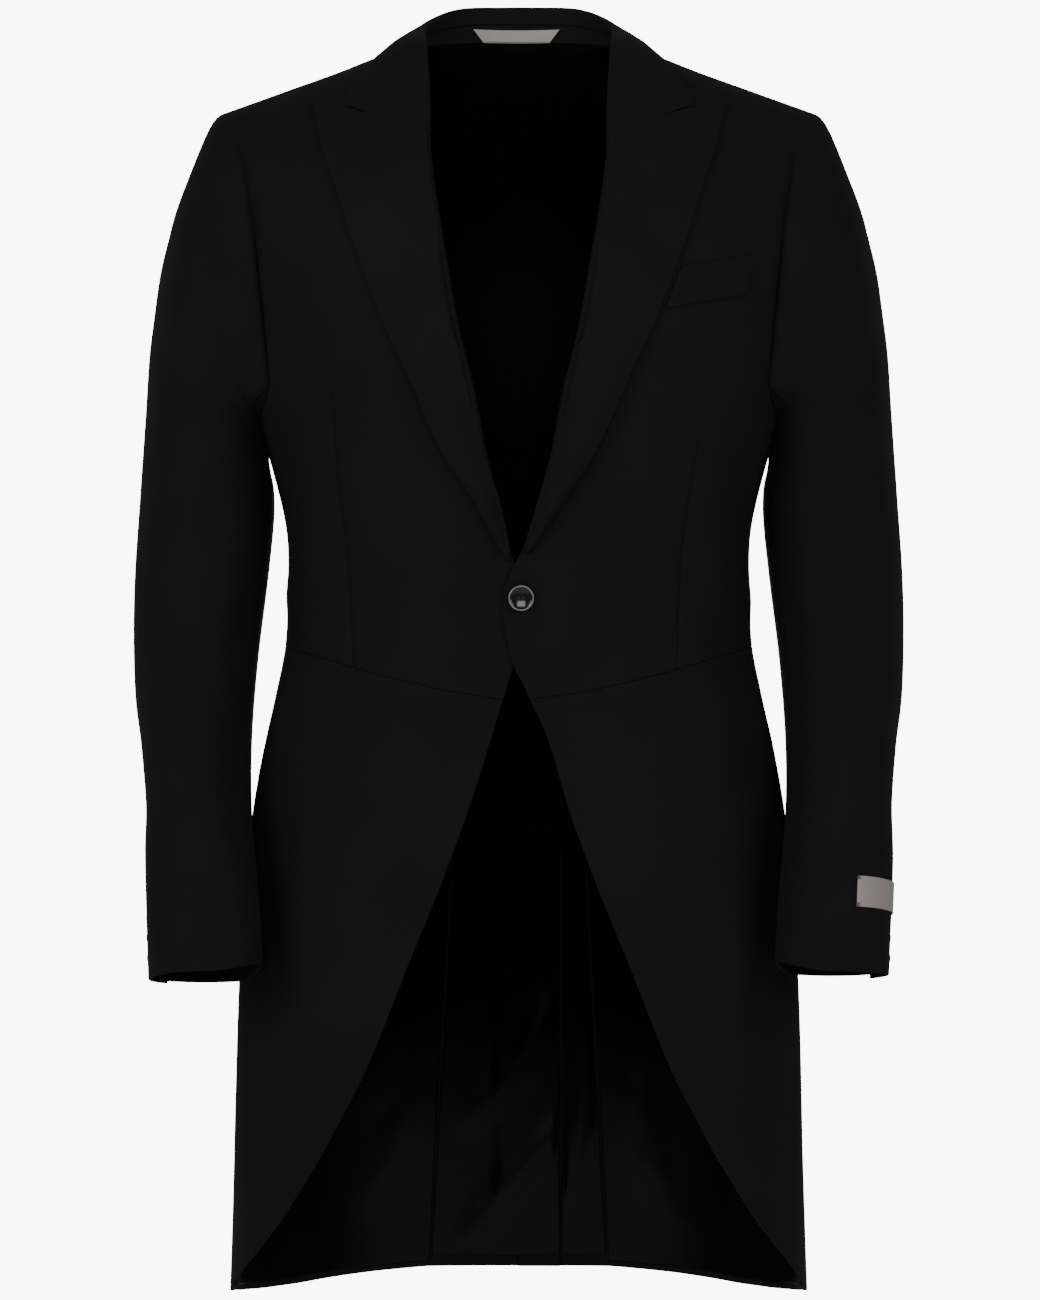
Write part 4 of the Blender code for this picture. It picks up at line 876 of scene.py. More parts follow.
def collarGrid():
    # foot of the stand, up to the fold and down the fall, as a cubic curve across each of its rows
    u = np.linspace(0.0, 1.0, collarShape["rows"])
    spot = {part: np.stack([readColumn(collarTable, part + axis, u, "u") for axis in ("_x", "_y", "_z")], axis=1)
            for part in ("roll", "edge", "foot")}
    for part in spot.values():
        part[-1, 0] = 0.0
    rise, fall = spot["roll"] - spot["foot"], spot["edge"] - spot["roll"]
    swell = unit(np.cross(fall, np.gradient(spot["roll"], axis=0)))
    swell *= np.where(np.sum(swell * np.array([0.5, 0.0, 1.0]), axis=1) < 0, -1.0, 1.0)[:, None]
    lean = np.array([[collarShape["lean"], 0.0, 0.0]])
    rows = [spot["foot"], spot["foot"] + 0.5 * rise - 0.3 * lean, spot["roll"] - 0.06 * rise - 0.4 * lean,
            spot["roll"] + 0.4 * lean + 0.02 * fall]
    ends = gorgeSpots()
    for k, t in enumerate(collarShape["fall"]):
        arc = 4 * t * (1 - t) * (collarShape["swell"] + collarShape["moreSwell"] * softStep(0.2, 0.7, u))[:, None]
        straight = spot["roll"] + fall * t + swell * arc
        rows.append(straight + (ends[k] - straight[0]) * softStep(0.30, 0.0, u)[:, None])
    half = np.stack(rows, axis=1)
    # the front end lies in line with the lapel's fold below it
    near = softStep(0.22, 0.0, u)[:, None]
    half[:, :5, 0] += collarShape["endOut"] * near
    half[:, :5, 2] -= collarShape["endDown"] * near
    whole = np.concatenate([half, mirrored(half[-2::-1], right)], axis=0)
    step = np.linalg.norm(np.diff(whole, axis=1), axis=-1).mean(axis=0)
    s = np.concatenate([[0.0], np.cumsum(step)])
    slope = np.gradient(whole, s, axis=1)
    at = np.linspace(0.0, s[-1], collarShape["across"])
    at = np.sort(np.concatenate([at, np.linspace(s[1], s[4], collarShape["foldRows"])]))
    i = np.clip(np.searchsorted(s, at, side="right") - 1, 0, len(s) - 2)
    h = (s[i + 1] - s[i])[None, :, None]
    t = ((at - s[i]) / (s[i + 1] - s[i]))[None, :, None]
    return cubic(t, h, whole[:, i], whole[:, i + 1], slope[:, i], slope[:, i + 1])


# The sleeves

sleeveTable = columns(
    "ring outer_x outer_z inner_x inner_z middle depth slant",
    (1, 0.2400, -0.0505, 0.2075, -0.2895, 0.002, 0.056, 0.000),    # roped sleeve head
    (2, 0.2490, -0.0770, 0.2085, -0.296, 0.002, 0.063, 0.000),
    (3, 0.2600, -0.1050, 0.2085, -0.304, 0.002, 0.067, 0.000),
    (4, 0.2715, -0.1390, 0.2070, -0.312, 0.002, 0.070, 0.000),
    (5, 0.2808, -0.1750, 0.2055, -0.318, 0.002, 0.072, 0.000),
    (6, 0.2870, -0.2250, 0.2025, -0.329, 0.003, 0.073, 0.000),
    (7, 0.2910, -0.2850, 0.1995, -0.344, 0.004, 0.072, 0.000),
    (8, 0.2955, -0.3500, 0.1985, -0.368, 0.004, 0.070, 0.000),
    (9, 0.2995, -0.4150, 0.2010, -0.415, 0.001, 0.066, 0.004),     # elbow
    (10, 0.2990, -0.4750, 0.2045, -0.475, -0.012, 0.062, 0.008),
    (11, 0.2945, -0.5350, 0.2060, -0.535, -0.032, 0.057, 0.010),
    (12, 0.2880, -0.5950, 0.2040, -0.595, -0.056, 0.052, 0.010),
    (13, 0.2845, -0.6550, 0.1980, -0.655, -0.078, 0.047, 0.009),
    (14, 0.2812, -0.7160, 0.1945, -0.7155, -0.096, 0.043, 0.0065),  # cuff
)
sleeve = {"last": 14, "forearmSeam": 2.60, "hindarmTop": -1.75, "hindarmCuff": -0.75, "foot": 0.0004,
          "turnedIn": 0.0040, "under": 0.0012, "rope": 0.0003, "ropeRings": 1.6, "ropeTurn": 1.1, "sink": 0.0042,
          "sinkWidth": 0.006, "edgeRoll": 0.0042, "rollRings": 0.12, "rollFade": (3.0, 0.6), "swell": 0.013,
          "swellTurn": 2.1, "swellWidth": 0.8, "inSwell": 0.008, "inTurn": 2.65, "inWidth": 0.42, "evenings": 110,
          "headRings": 3.2, "topSteps": 52, "underSteps": 30,
          "rings": np.concatenate([[-0.1], np.linspace(0, 1, 12), np.linspace(1, 14, 92)[1:]])}
# creases of the sleeves: the turn from the outer side (the front is positive) and the ring of the middle
sleeveCreases = columns(
    "side turn ring length width lean out",
    (0, 1.60, 8.4, 0.055, 0.030, 90, -0.0040),      # inside of the elbow, on both arms
    (0, 1.90, 9.3, 0.050, 0.026, 90, 0.0035),
    (0, -1.20, 9.0, 0.080, 0.034, 90, 0.0030),
    (0, 0.50, 5.0, 0.110, 0.028, 0, -0.0028),       # below the sleeve head
    (0, 0.10, 11.5, 0.080, 0.030, 0, -0.0025),
    (1, 1.15, 7.4, 0.050, 0.010, 62, 0.0016),       # left elbow
    (1, 1.45, 8.9, 0.060, 0.010, 74, -0.0018),
    (1, 1.20, 10.0, 0.055, 0.010, 112, 0.0014),
    (1, 0.75, 2.6, 0.060, 0.011, 16, 0.0012),       # left sleeve head
    (1, 0.35, 12.3, 0.120, 0.012, 6, 0.0012),
    (1, 1.35, 12.0, 0.110, 0.012, -5, -0.0012),
    (1, -1.60, 7.2, 0.090, 0.014, 60, -0.0016),     # back of the left elbow
    (1, -1.90, 9.4, 0.080, 0.013, 110, 0.0018),
    (1, -2.30, 5.0, 0.110, 0.016, 24, -0.0016),
    (2, 1.25, 7.7, 0.055, 0.010, 66, 0.0016),       # right elbow
    (2, 1.55, 9.2, 0.055, 0.010, 78, -0.0018),
    (2, 1.10, 10.3, 0.060, 0.010, 104, 0.0014),
    (2, 0.80, 2.4, 0.055, 0.011, 12, 0.0012),
    (2, 0.55, 12.6, 0.110, 0.012, 4, 0.0012),
    (2, 1.25, 11.8, 0.120, 0.013, -7, -0.0013),
    (2, -1.70, 7.5, 0.085, 0.014, 64, -0.0016),
    (2, -1.85, 9.7, 0.085, 0.013, 106, 0.0018),
    (2, -2.20, 4.8, 0.120, 0.016, 20, -0.0016),
)
# how much nearer to the body the inner side of the sleeve lies, ring by ring
underArm = columns("ring near", (0, 0.0), (1, 0.0068), (2, 0.0085), (3, 0.0100), (4, 0.0116), (5, 0.0104), (6, 0.0088),
                   (7, 0.0085), (8, 0.0075), (9, 0.0052), (10, 0.0020), (11, 0.0), (14, 0.0))


def sleeveRing(ring, turn):
    # a slanted ellipse: from the outer to the inner end with the cosine of the turn, fore and aft with its sine
    value = {name: readColumn(sleeveTable, name, ring, "ring") for name in sleeveTable if name != "ring"}
    wall = cloth["wall"]
    outer = np.stack([value["outer_x"] - wall, value["outer_z"] - wall * softStep(6, 1, ring)], axis=-1)
    inner = np.stack([value["inner_x"] + wall, value["inner_z"] + 0 * ring], axis=-1)
    centre, reach = (outer + inner) / 2, (outer - inner) / 2
    x = centre[..., 0] + reach[..., 0] * np.cos(turn)
    z = centre[..., 1] + reach[..., 1] * np.cos(turn) + value["slant"] * np.sin(turn)
    y = value["middle"] - (value["depth"] - wall) * np.sin(turn)
    return np.stack([x, y, z], axis=-1)


def armholeRing(turn):
    # the armhole's edge, read by its length from the shoulder to under the arm, in front and behind
    runs = ((armFrontRun, 1), (joinRuns(armBackRun, scyeRun[:3:-1]), -1))
    step = 0.002
    ring, lift = np.zeros(turn.shape + (3,)), np.zeros(turn.shape + (3,))
    for run, way in runs:
        share = np.clip(way * turn / math.pi, 0, 1)
        track = smoothRun(run, 161)
        place = bodyPoint(track[:, 0], track[:, 1])
        push = unit(np.cross(bodyPoint(track[:, 0] + step, track[:, 1]) - place,
                             place - bodyPoint(track[:, 0], track[:, 1] - step)))
        along = runLength(place)
        along /= along[-1]
        at = np.stack([np.interp(share, along, place[:, k]) for k in range(3)], axis=-1)
        away = np.stack([np.interp(share, along, push[:, k]) for k in range(3)], axis=-1)
        top = bell(share * math.pi, 0.5)[..., None]        # near the shoulder the cloth stands off sideways
        away = unit((0.75 - 0.65 * top) * away + (0.25 + 0.65 * top) * np.array([1.0, 0.0, 0.0]))
        here = (share > 0) | (way == 1)
        ring, lift = np.where(here[..., None], at, ring), np.where(here[..., None], away, lift)
    return ring, lift


# the lower edge of the cuff: how far it rises inwards, and at the back behind the vent; the top sleeve laps lower
cuffEdge = {"from": 12.8, "inwards": {left: 0.0105, right: 0.0092}, "behind": {left: 0.0040, right: -0.0010},
            "lap": {left: -0.0010, right: 0.0028}, "lapTurns": {left: (0.7, -0.3), right: (1.5, -0.3)},
            "frontTurns": (1.6, math.pi), "backTurns": (-2.2, -math.pi), "ventTurns": (-2.9, -2.2)}


def cuffRise(rings, turn, side, lap):
    # soft steps round the cuff, growing towards the edge; lap is 1 on the top sleeve and 0 on the under sleeve
    inner = np.where(turn > 0, softStep(*cuffEdge["frontTurns"], turn), softStep(*cuffEdge["backTurns"], turn))
    behind = np.where(turn < 0, softStep(*cuffEdge["ventTurns"], turn), 0.0)
    rise = cuffEdge["inwards"][side] * inner
    rise = rise - lap * cuffEdge["lap"][side] * softStep(*cuffEdge["lapTurns"][side], turn)
    rise = rise + (1 - lap) * cuffEdge["behind"][side] * behind
    return rise * softStep(cuffEdge["from"], sleeve["last"], rings)


def sleeveGrid(rings, turns, side, out=0.0, lap=None):
    # rings run down the arm; above the first one the cloth closes to the armhole, roped by a low sine, and
    # ends a seam's width under the body
    rings = np.asarray(rings, float)[:, None]
    grid = sleeveRing(np.maximum(rings, 1.0) + 0 * turns, turns)
    share = np.clip(rings, 0, 1)[..., None]
    edge, lift = armholeRing(turns)
    edge = edge - lift * (sleeve["sink"] * frontArmhole(turns / math.pi))[..., None]
    foot = edge + lift * sleeve["foot"]
    grid = np.where(rings[..., None] < 1.0, foot * (1 - share) + grid * share, grid)
    inward = unit(foot - sleeveRing(1.0, turns))
    grid = np.where(rings[..., None] < 0.0, edge + inward * sleeve["turnedIn"] - lift * sleeve["under"], grid)
    middle = sleeveRing(rings, np.zeros(rings.shape)) / 2 + sleeveRing(rings, np.full(rings.shape, math.pi)) / 2
    i, j = grid.shape[0] // 2, grid.shape[1] // 2
    normal = normalsOf(grid)
    normal = normal if np.dot(normal[i, j], grid[i, j] - middle[i, 0]) > 0 else -normal
    turn = np.mod(turns + math.pi, 2 * math.pi) - math.pi
    mine = np.where((sleeveCreases["side"] == 0) | (sleeveCreases["side"] == (1 if side == left else 2)), 1.0, 0.0)
    metres = cloth["sleeveRadian"]      # a radian round the sleeve, and a step from ring to ring
    rows = dict(sleeveCreases, a=sleeveCreases["turn"] * metres, b=-sleeveCreases["ring"] * metres,
                out=sleeveCreases["out"] * mine)
    push = creaseHeight(turn * metres, -rings * metres + 0 * turn, rows)
    arch = np.sin(math.pi * np.clip(rings / sleeve["ropeRings"], 0, 1))
    push = push + sleeve["rope"] * arch * bell(turn, sleeve["ropeTurn"])
    grid = grid + normal * (push + out)[..., None]
    # the front fills out in a bell round its turn, steep from the seam and soft down the arm
    swell = (sleeve["swell"] * bell(turn - sleeve["swellTurn"], sleeve["swellWidth"])
             + sleeve["inSwell"] * bell(turn - sleeve["inTurn"], sleeve["inWidth"]))
    grid[..., 1] -= softStep(0.0, 0.5, rings) * softStep(5.0, 1.0, rings) * swell
    grid[..., 0] -= readColumn(underArm, "near", rings, "ring") * softStep(1.5, 3.0, np.abs(turn))
    head = np.flatnonzero((rings[:, 0] > 0.0) & (rings[:, 0] < sleeve["headRings"]))
    for _ in range(sleeve["evenings"] if len(head) > 20 else 0):      # the head is evened out from ring to ring
        grid[head] = (grid[head - 1] + 2 * grid[head] + grid[head + 1]) / 4
    # in front the cloth rolls over steeply into the armhole seam: out by 1 - exp(-(ring / rollRings)^2)
    roll = (1 - bell(np.maximum(rings, 0.0), sleeve["rollRings"])) * softStep(*sleeve["rollFade"], rings)
    grid[..., 1] -= sleeve["edgeRoll"] * roll * frontArmhole(np.clip(turn / math.pi, 0, 1))
    if lap is not None:
        grid[..., 2] += cuffRise(rings, turn, side, lap)
    grid = mirrored(grid, side)
    return grid, awayFrom(grid, mirrored(middle[i, 0], side))


def hindarm(ring):
    span = sleeve["hindarmCuff"] - sleeve["hindarmTop"]
    return sleeve["hindarmTop"] + span * softStep(0.0, sleeve["last"], ring)


def sleeveShells(word, side):
    rings = sleeve["rings"]
    back = hindarm(rings)[:, None]
    share = np.linspace(0, 1, sleeve["topSteps"] + 1)[None, :]
    top = sleeveGrid(rings, back * (1 - share) + sleeve["forearmSeam"] * share, side, lap=1)
    share = np.linspace(0, 1, sleeve["underSteps"] + 1)[None, :]
    turns = sleeve["forearmSeam"] * (1 - share) + (back + 2 * math.pi) * share
    turns = np.mod(turns + math.pi, 2 * math.pi) - math.pi
    return woolShell("topSleeve" + word, top), woolShell("underSleeve" + word, sleeveGrid(rings, turns, side, lap=0))


# The linings

liningFolds = columns(                 # seen from the front: x and z of the middle, lean from upright in degrees
    "x z length width lean out",
    (-0.092, -0.800, 0.090, 0.013, 40, -0.0024),
    (-0.100, -0.862, 0.110, 0.014, 22, -0.0034),
    (-0.060, -0.880, 0.060, 0.010, 30, 0.0016),
    (-0.006, -0.806, 0.120, 0.013, 38, -0.0030),
    (0.012, -0.770, 0.050, 0.009, 24, -0.0020),
    (-0.018, -0.850, 0.060, 0.008, 44, 0.0018),
    (0.004, -0.884, 0.100, 0.013, 40, -0.0030),
    (0.046, -0.868, 0.090, 0.009, 12, -0.0030),
    (0.052, -0.790, 0.100, 0.010, 4, -0.0020),
    (0.062, -0.910, 0.040, 0.009, 28, 0.0016),
    (0.100, -0.850, 0.090, 0.013, -14, -0.0028),
    (0.118, -0.905, 0.070, 0.012, -24, -0.0026),
    (-0.036, -0.935, 0.040, 0.010, 34, -0.0020),
    (-0.055, -0.055, 0.070, 0.007, -32, -0.0026),     # below the collar
    (-0.007, -0.040, 0.110, 0.006, 2, -0.0016),
    (0.010, -0.045, 0.120, 0.006, -2, -0.0020),
    (0.037, -0.050, 0.110, 0.007, 4, -0.0024),
    (0.060, -0.070, 0.090, 0.009, 14, -0.0018),
    (-0.030, -0.075, 0.090, 0.009, -10, -0.0020),
    (-0.001, -0.170, 0.300, 0.0035, 0, -0.0014),      # the pleat down the middle of the back
)


def liningGrid(patch, side, out):
    # the lining hangs on the inner face and falls into its own folds, seen from the front
    grid, normal = onBody(patch, side, out)
    rows = dict(liningFolds, a=liningFolds["x"], b=liningFolds["z"])
    soft = creaseHeight(grid[..., 0], grid[..., 2], rows) * cloth["liningFall"]
    keep = softStep(0.0, cloth["liningEdge"], edgeDistance(grid)[0])
    return grid + normal * (np.minimum(soft, cloth["liningRise"]) * keep)[..., None], normal


def between(start, end, across):
    # a patch between two edges, with straight rows at its top and foot
    return coons(smoothRun([start[0], end[0]], across), smoothRun([start[-1], end[-1]], across), start, end)


def backLiningPatch():
    half = backPatch()[:fine["armBack"] + fine["side"] + 1]
    half[:, -2:] = half[:, -3:-2] + 0.3 * (half[:, -2:] - half[:, -3:-2])
    other = half[:, :0:-1].copy()
    other[..., 0] = 2 * math.pi - other[..., 0]
    return np.concatenate([other, half], axis=1)


def tailLiningPatch(side):
    count = 60
    z = np.linspace(lines["ventTopZ"] - 0.012, lines["hemZ"] + 0.010, count)
    startX = 0.0008 - lines["ventUnderlap"] if side == right else lines["ventUnderlap"] + 0.0014
    start = seam([(startX, height) for height in z])
    start[:, 0] = math.pi - start[:, 0]
    end = smoothRun(seam(tailSeam, True), 120)
    end = np.stack([np.interp(-level(z), -end[:, 1], end[:, 0]) + 0.012, level(z)], axis=1)
    return between(start, end, 46 if side == right else 26)


def skirtLiningPatch(side):
    # drawn back from the cutaway edge by the width of the facing, more at its lower corner, and up from the hem
    patch = skirtPatch(side)
    down = np.linspace(0, 0.988, patch.shape[0])
    start = (0.045 + 0.10 * softStep(0.84, 1.0, down))[:, None]
    return resample(patch, down, start + (1 - start) * np.linspace(0, 1, patch.shape[1]))


def underlapPatch():
    low, high = level(lines["hemZ"]), level(lines["ventTopZ"])
    reach = seam(((lines["ventUnderlap"], lines["hemZ"]),))[0, 0]
    start = smoothRun([(math.pi, high), (math.pi, low)], 80)
    end = smoothRun([(math.pi + reach * 0.9, high), (math.pi + reach, low)], 80)
    return between(start, end, 14)


# Small pieces

def weltPatch():
    top = smoothRun(seam(((0.1235, -0.1780), (0.1820, -0.1662))), 40)
    low = smoothRun(seam(((0.1110, -0.2105), (0.1744, -0.1973))), 40)
    return coons(top, low, smoothRun([top[0], low[0]], 18), smoothRun([top[-1], low[-1]], 18))


neckLabel = {"top": 0.0345, "low": 0.0262, "shift": -0.0018, "topZ": 0.0240, "lowZ": 0.0135, "lift": 0.0024,
             "inset": 0.0008, "stitchUp": 0.0004, "zigzag": 0.0009, "stitches": 53}
sleeveLabel = {"high": 12.87, "low": 13.24, "start": 1.25, "end": -0.35, "lift": 0.0006, "tackRings": 0.05,
               "tackTurn": 0.055}
# a button's threads: how far from its middle as a share of its radius, how high in it, how they rise, and the
# radius of each kind of thread
sewing = {"hole": 0.17, "dish": 0.60, "sunk": 0.0004, "arch": 0.0009, "button": 0.00045, "neck": 0.00022,
          "tack": 0.00035, "lift": 0.0002}


def standFace(x):
    # the parabola of the collar stand round the neck, where the label lies
    reach = collarTable["foot_x"][-2]
    depth = collarTable["foot_y"][-1] - collarTable["foot_y"][-2]
    return collarTable["foot_y"][-1] - depth * (x / reach) ** 2 - cloth["wall"] - neckLabel["lift"]


def neckLabelGrid():
    # a strip that follows the collar stand
    share = np.linspace(0, 1, 12)[:, None]
    half = neckLabel["top"] * (1 - share) + neckLabel["low"] * share
    x = half * np.linspace(-1, 1, 50)[None, :] + neckLabel["shift"]
    z = (neckLabel["topZ"] * (1 - share) + neckLabel["lowZ"] * share) + 0 * x
    return np.stack([x, standFace(x), z], axis=-1)


def sleeveLabelGrid(out):
    rings = np.linspace(sleeveLabel["high"], sleeveLabel["low"], 16)
    turns = np.repeat(np.linspace(sleeveLabel["start"], sleeveLabel["end"], 50)[None], 16, axis=0)
    return sleeveGrid(rings, turns, left, out)


def sleeveLine(rings, turns, side, out, count=9):
    # points of a straight stitch on the sleeve between two places
    way = np.linspace(0, 1, count)
    grid, normal = sleeveGrid(rings[0] + (rings[1] - rings[0]) * way,
                              np.repeat((turns[0] + (turns[1] - turns[0]) * way)[None], count, axis=0), side)
    k = np.arange(count)
    return (grid + normal * out)[k, k]


def circle(steps, across, up):
    # unit steps round a circle in the plane of two directions
    angle = np.linspace(0, 2 * math.pi, steps, endpoint=False)[:, None]
    return np.cos(angle) * across + np.sin(angle) * up


def bandFaces(number):
    # four-cornered faces between rows of numbered points that close round
    beside = np.roll(number, -1, axis=1)
    return np.stack([number[:-1].ravel(), number[1:].ravel(), beside[1:].ravel(), beside[:-1].ravel()], axis=1)


def threadTube(name, paths, radius, look, sides=8):
    # short threads: round sections carried along each path, their ends drawn in
    points, faces, at = [], [], 0
    for path in paths:
        path = np.array(path, float)
        n = len(path)
        tangent = unit(np.gradient(path, axis=0))
        flat = unit(np.cross(tangent, np.array([0.13, 0.31, 0.94])))        # any direction that no thread runs in
        up = np.cross(tangent, flat)
        taper = np.sqrt(np.clip(1 - (2 * np.linspace(0, 1, n) - 1) ** 8, 0.02, 1))[:, None, None]
        ring = path[:, None] + radius * taper * circle(sides, flat[:, None], up[:, None])
        number = at + np.arange(n * sides).reshape(n, sides)
        points.append(ring.reshape(-1, 3))
        faces += bandFaces(number).tolist() + [number[0].tolist(), number[-1][::-1].tolist()]
        at += n * sides
    return newPiece(name, np.concatenate(points), faces, look)


def frameAt(place, facing):
    # a small piece's middle, and its sideways, upward and facing directions
    facing = unit(np.array(facing, float))
    across = unit(np.cross(np.array([0.0, 0.0, 1.0]), facing))
    return np.array(place, float), across, np.cross(facing, across), facing


def turnedPiece(name, profile, place, look, steps=48):
    # a profile of radius and height turned about the facing axis, closed at both poles
    origin, across, up, facing = place
    profile = np.array(profile, float)
    radii, heights = profile[1:-1, :1, None], profile[1:-1, 1:, None]
    points = origin + radii * circle(steps, across, up) + heights * facing
    count = len(profile) - 2
    number = np.arange(count * steps).reshape(count, steps)
    first, last = count * steps, count * steps + 1
    caps = [(first, int(a), int(b)) for a, b in zip(number[0], np.roll(number[0], -1))]
    caps += [(last, int(b), int(a)) for a, b in zip(number[-1], np.roll(number[-1], -1))]
    ends = np.stack([origin + profile[0, 1] * facing, origin + profile[-1, 1] * facing])
    return newPiece(name, np.vstack([points.reshape(-1, 3), ends]), bandFaces(number).tolist() + caps, look)


def bodySpot(phi, w, side, out):
    step = 0.002
    here = bodyPoint(phi, w)
    facing = unit(np.cross(bodyPoint(phi + step, w) - here, bodyPoint(phi, w + step) - here))
    facing = facing if np.dot(facing[:2], here[:2]) > 0 else -facing
    folds = float(bodyFolds(np.array([phi]), np.array([w]), side)[0])
    return frameAt(mirrored(here + facing * (cloth["wall"] + folds + out), side), mirrored(facing, side))


def sleeveSpot(ring, turn, side, out):
    step = 0.02
    grid, normal = sleeveGrid((ring - step, ring, ring + step), np.array([[turn - step, turn, turn + step]] * 3), side)
    return frameAt(grid[1, 1] + normal[1, 1] * (cloth["wall"] + out), normal[1, 1])


def buttonProfile(radius, thick):
    # a shallow round dish z = middle + depth r^2, then over the rim, round the edge and in to the thread shank
    bowl = [(r, sewing["dish"] + 0.46 * r * r) for r in np.linspace(0.0, 0.80, 14)]
    edge = [(0.82, 0.94), (0.86, 0.985), (0.90, 1.0), (0.95, 0.97), (0.985, 0.88), (1.0, 0.76), (0.985, 0.62),
            (0.93, 0.46), (0.80, 0.36), (0.50, 0.31), (0.24, 0.30), (0.22, 0.15), (0.24, 0.0), (0.0, 0.0)]
    return [(r * radius, z * thick) for r, z in bowl + edge]


def rimRing(name, place, size, look, steps=96):
    # the pale rim of the front button, a ring with a rounded section that stands a hair above its edge; its pale grey
    # is painted reflection
    origin, across, up, facing = place
    section = np.array([(0.835, 0.90), (0.845, 0.965), (0.87, 1.02), (0.905, 1.04), (0.94, 1.02), (0.965, 0.96),
                        (0.975, 0.86), (0.96, 0.74), (0.92, 0.70), (0.86, 0.74)])
    ring = (origin + section[:, :1, None] * size["radius"] * circle(steps, across, up)
            + section[:, 1:, None] * size["thick"] * facing)
    number = np.arange(len(section) * steps).reshape(len(section), steps)
    faces = np.roll(bandFaces(np.vstack([number, number[:1]])), -1, axis=1)
    return newPiece(name, ring.reshape(-1, 3), faces.tolist(), look)


def buttonSet(name, node, place, size):
    # the horn button, sewn on by two upright threads as through four holes
    origin, across, up, facing = place
    button = turnedPiece(name, buttonProfile(size["radius"], size["thick"]), place, horn)
    hole, high = sewing["hole"] * size["radius"], sewing["dish"] * size["thick"]
    share = np.linspace(0, 1, 9)[:, None]
    threads = []
    for way in (-1, 1):
        a = origin + across * hole * way + up * hole + facing * (high - sewing["sunk"])
        b = origin + across * hole * way - up * hole + facing * (high - sewing["sunk"])
        threads.append(a * (1 - share) + b * share + facing * sewing["arch"] * np.sin(math.pi * share))
    sewn = threadTube(name + "Thread", threads, sewing["button"], blackThread)
    settle(button, node)
    settle(sewn, None)


print("form and functions ready")
for word, side in (("Left", left), ("Right", right)):
    node = word.lower()
    pieces = {"forepart": woolShell("forepart" + word, forepartGrid(side)),
              "side_body": woolShell("sideBody" + word, sideBodyGrid(side)),
              "skirt": woolShell("skirt" + word, skirtGrid(side)),
              "back": woolShell("back" + word, onBody(backPatch(), side)),
              "lapel": woolShell("lapel" + word, lapelGrid(side))}
    pieces["top_sleeve"], pieces["under_sleeve"] = sleeveShells(word, side)
    for name, piece in pieces.items():
        settle(piece, name + "_" + node)
    tail = tailLiningPatch(side)
    x = bodyPoint(tail[..., 0], tail[..., 1])[..., 0]
    over = (lines["underlapOut"] - cloth["air"]) * softStep(0.024, 0.013, x) if side == right else 0.0
    lining = clothShell("tailLining" + word, liningGrid(tail, side, lines["liningOut"] + over), satin,
                        cloth["liningWall"])
    settle(lining, "tail_lining_" + node)
    patch = skirtLiningPatch(side)
    lining = clothShell("skirtLining" + word, liningGrid(patch, side, lines["skirtLiningOut"] + tuckUnder(patch, side)),
                        satin, cloth["liningWall"])
    settle(lining, "skirt_lining_" + node)
    print("panels of the", node, "side done")

collarForm = collarGrid()
collar = woolShell("coatCollar", (collarForm, awayFrom(collarForm, np.array([0.0, 0.03, 0.0]))))
settle(collar, "collar")
underlap = woolShell("ventUnderlap", onBody(underlapPatch(), right, lines["underlapOut"]))
settle(underlap, "vent_underlap")
backLining = clothShell("backLining", liningGrid(backLiningPatch(), left, lines["liningOut"]), shadedBodySatin,
                        cloth["liningWall"])
settle(backLining, "back_lining")
welt = clothShell("breastWelt", onBody(weltPatch(), left, cloth["wall"] + cloth["air"]), wool,
                  cloth["weltWall"])
settle(welt, "breast_welt")
print("collar, underlap, back lining and welt done")

tagForm = neckLabelGrid()
neckTag = clothShell("neckLabel", (tagForm, awayFrom(tagForm, np.array([0.0, 0.2, 0.0]))), neckCloth,
                     cloth["labelWall"])
settle(neckTag, "neck_label")
sleeveTag = clothShell("sleeveLabel", sleeveLabelGrid(cloth["wall"] + sleeveLabel["lift"]), sleeveCloth,
                       cloth["labelWall"])
settle(sleeveTag, "sleeve_label")

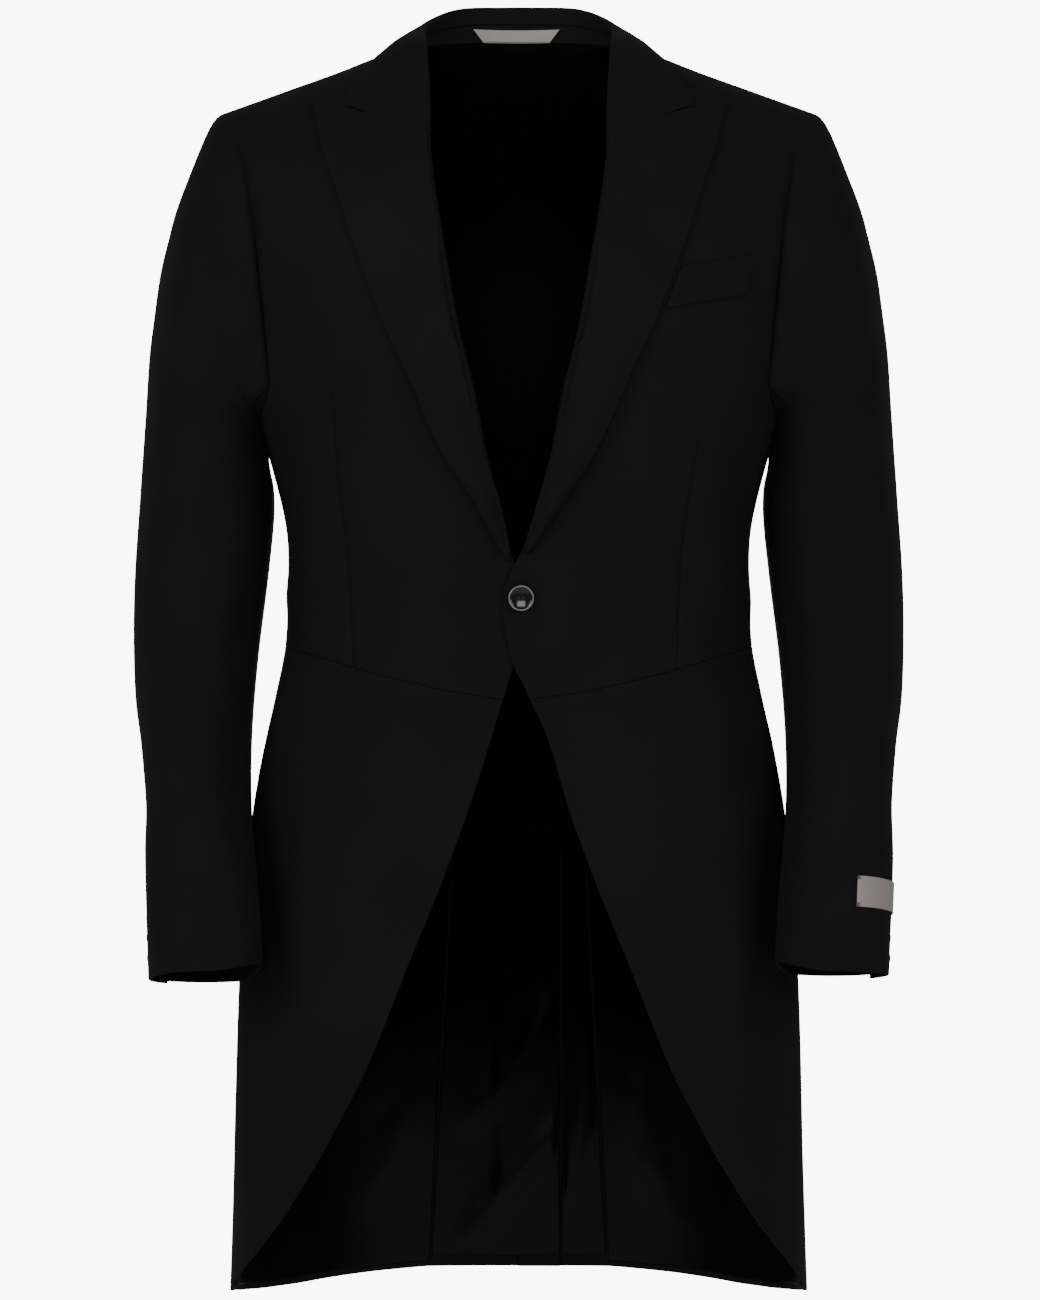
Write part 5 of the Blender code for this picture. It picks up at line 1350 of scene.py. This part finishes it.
# the neck label's lower edge is caught down with a zigzag, the sleeve label's corners with small crossed tacks
share = np.linspace(0, 1, neckLabel["stitches"])
x = (2 * share - 1) * (neckLabel["low"] - neckLabel["inset"]) + neckLabel["shift"]
y = standFace(x) - cloth["labelWall"] - sewing["lift"]
z = neckLabel["lowZ"] + neckLabel["stitchUp"] + neckLabel["zigzag"] * (np.arange(neckLabel["stitches"]) % 2)
settle(threadTube("neckLabelStitch", [np.stack([x, y, z], axis=1)], sewing["neck"], greyThread), None)
tacks = []
out = cloth["wall"] + sleeveLabel["lift"] + cloth["labelWall"] + sewing["lift"]
ringStep, turnStep = sleeveLabel["tackRings"], sleeveLabel["tackTurn"]
for ring, into in ((sleeveLabel["high"], ringStep), (sleeveLabel["low"], -ringStep)):
    for turn, inward in ((sleeveLabel["start"], -turnStep), (sleeveLabel["end"], turnStep)):
        tacks.append(sleeveLine((ring, ring + into), (turn, turn + inward), left, out))
        tacks.append(sleeveLine((ring + into, ring), (turn, turn + inward), left, out))
settle(threadTube("sleeveLabelTacks", tacks, sewing["tack"], blackThread), None)

frontButton = {"x": 0.0019, "z": -0.4286, "radius": 0.0100, "thick": 0.0042}
phi, w = seam(((frontButton["x"], frontButton["z"]),))[0]
place = bodySpot(phi, w, left, cloth["air"])
buttonSet("frontButton", "front_button", place, frontButton)
settle(rimRing("frontButtonRim", place, frontButton, rimReflectionLook), None)
backButton = {"radius": 0.0090, "thick": 0.0040, "inPhi": 0.030, "down": 0.006}
cuffButton = {"radius": 0.0070, "thick": 0.0034, "rings": (13.25, 13.50, 13.75), "turn": 0.30}
for word, side in (("Left", left), ("Right", right)):
    phi, w = tailRun[0] - (backButton["inPhi"], backButton["down"])
    buttonSet("backButton" + word, "back_button_" + word.lower(), bodySpot(phi, w, side, cloth["air"]), backButton)
    for k, ring in enumerate(cuffButton["rings"]):
        place = sleeveSpot(ring, hindarm(ring) + cuffButton["turn"], side, cloth["air"])
        buttonSet("cuffButton%s%d" % (word, k + 1), "cuff_button_%s_%d" % (word.lower(), k + 1), place, cuffButton)
print("labels and buttons done")

bpy.ops.mesh.primitive_plane_add(size=studio["floorSize"], location=(0.0, 0.0, studio["floorZ"]))
floor = bpy.context.active_object
floor.name = "studioFloor"
floorLook, floorTree = newMaterial("paleFloor")
setShader(floorTree, Base_Color=linear(studio["floorColour"]), Roughness=studio["floorRough"])
floor.data.materials.append(floorLook)
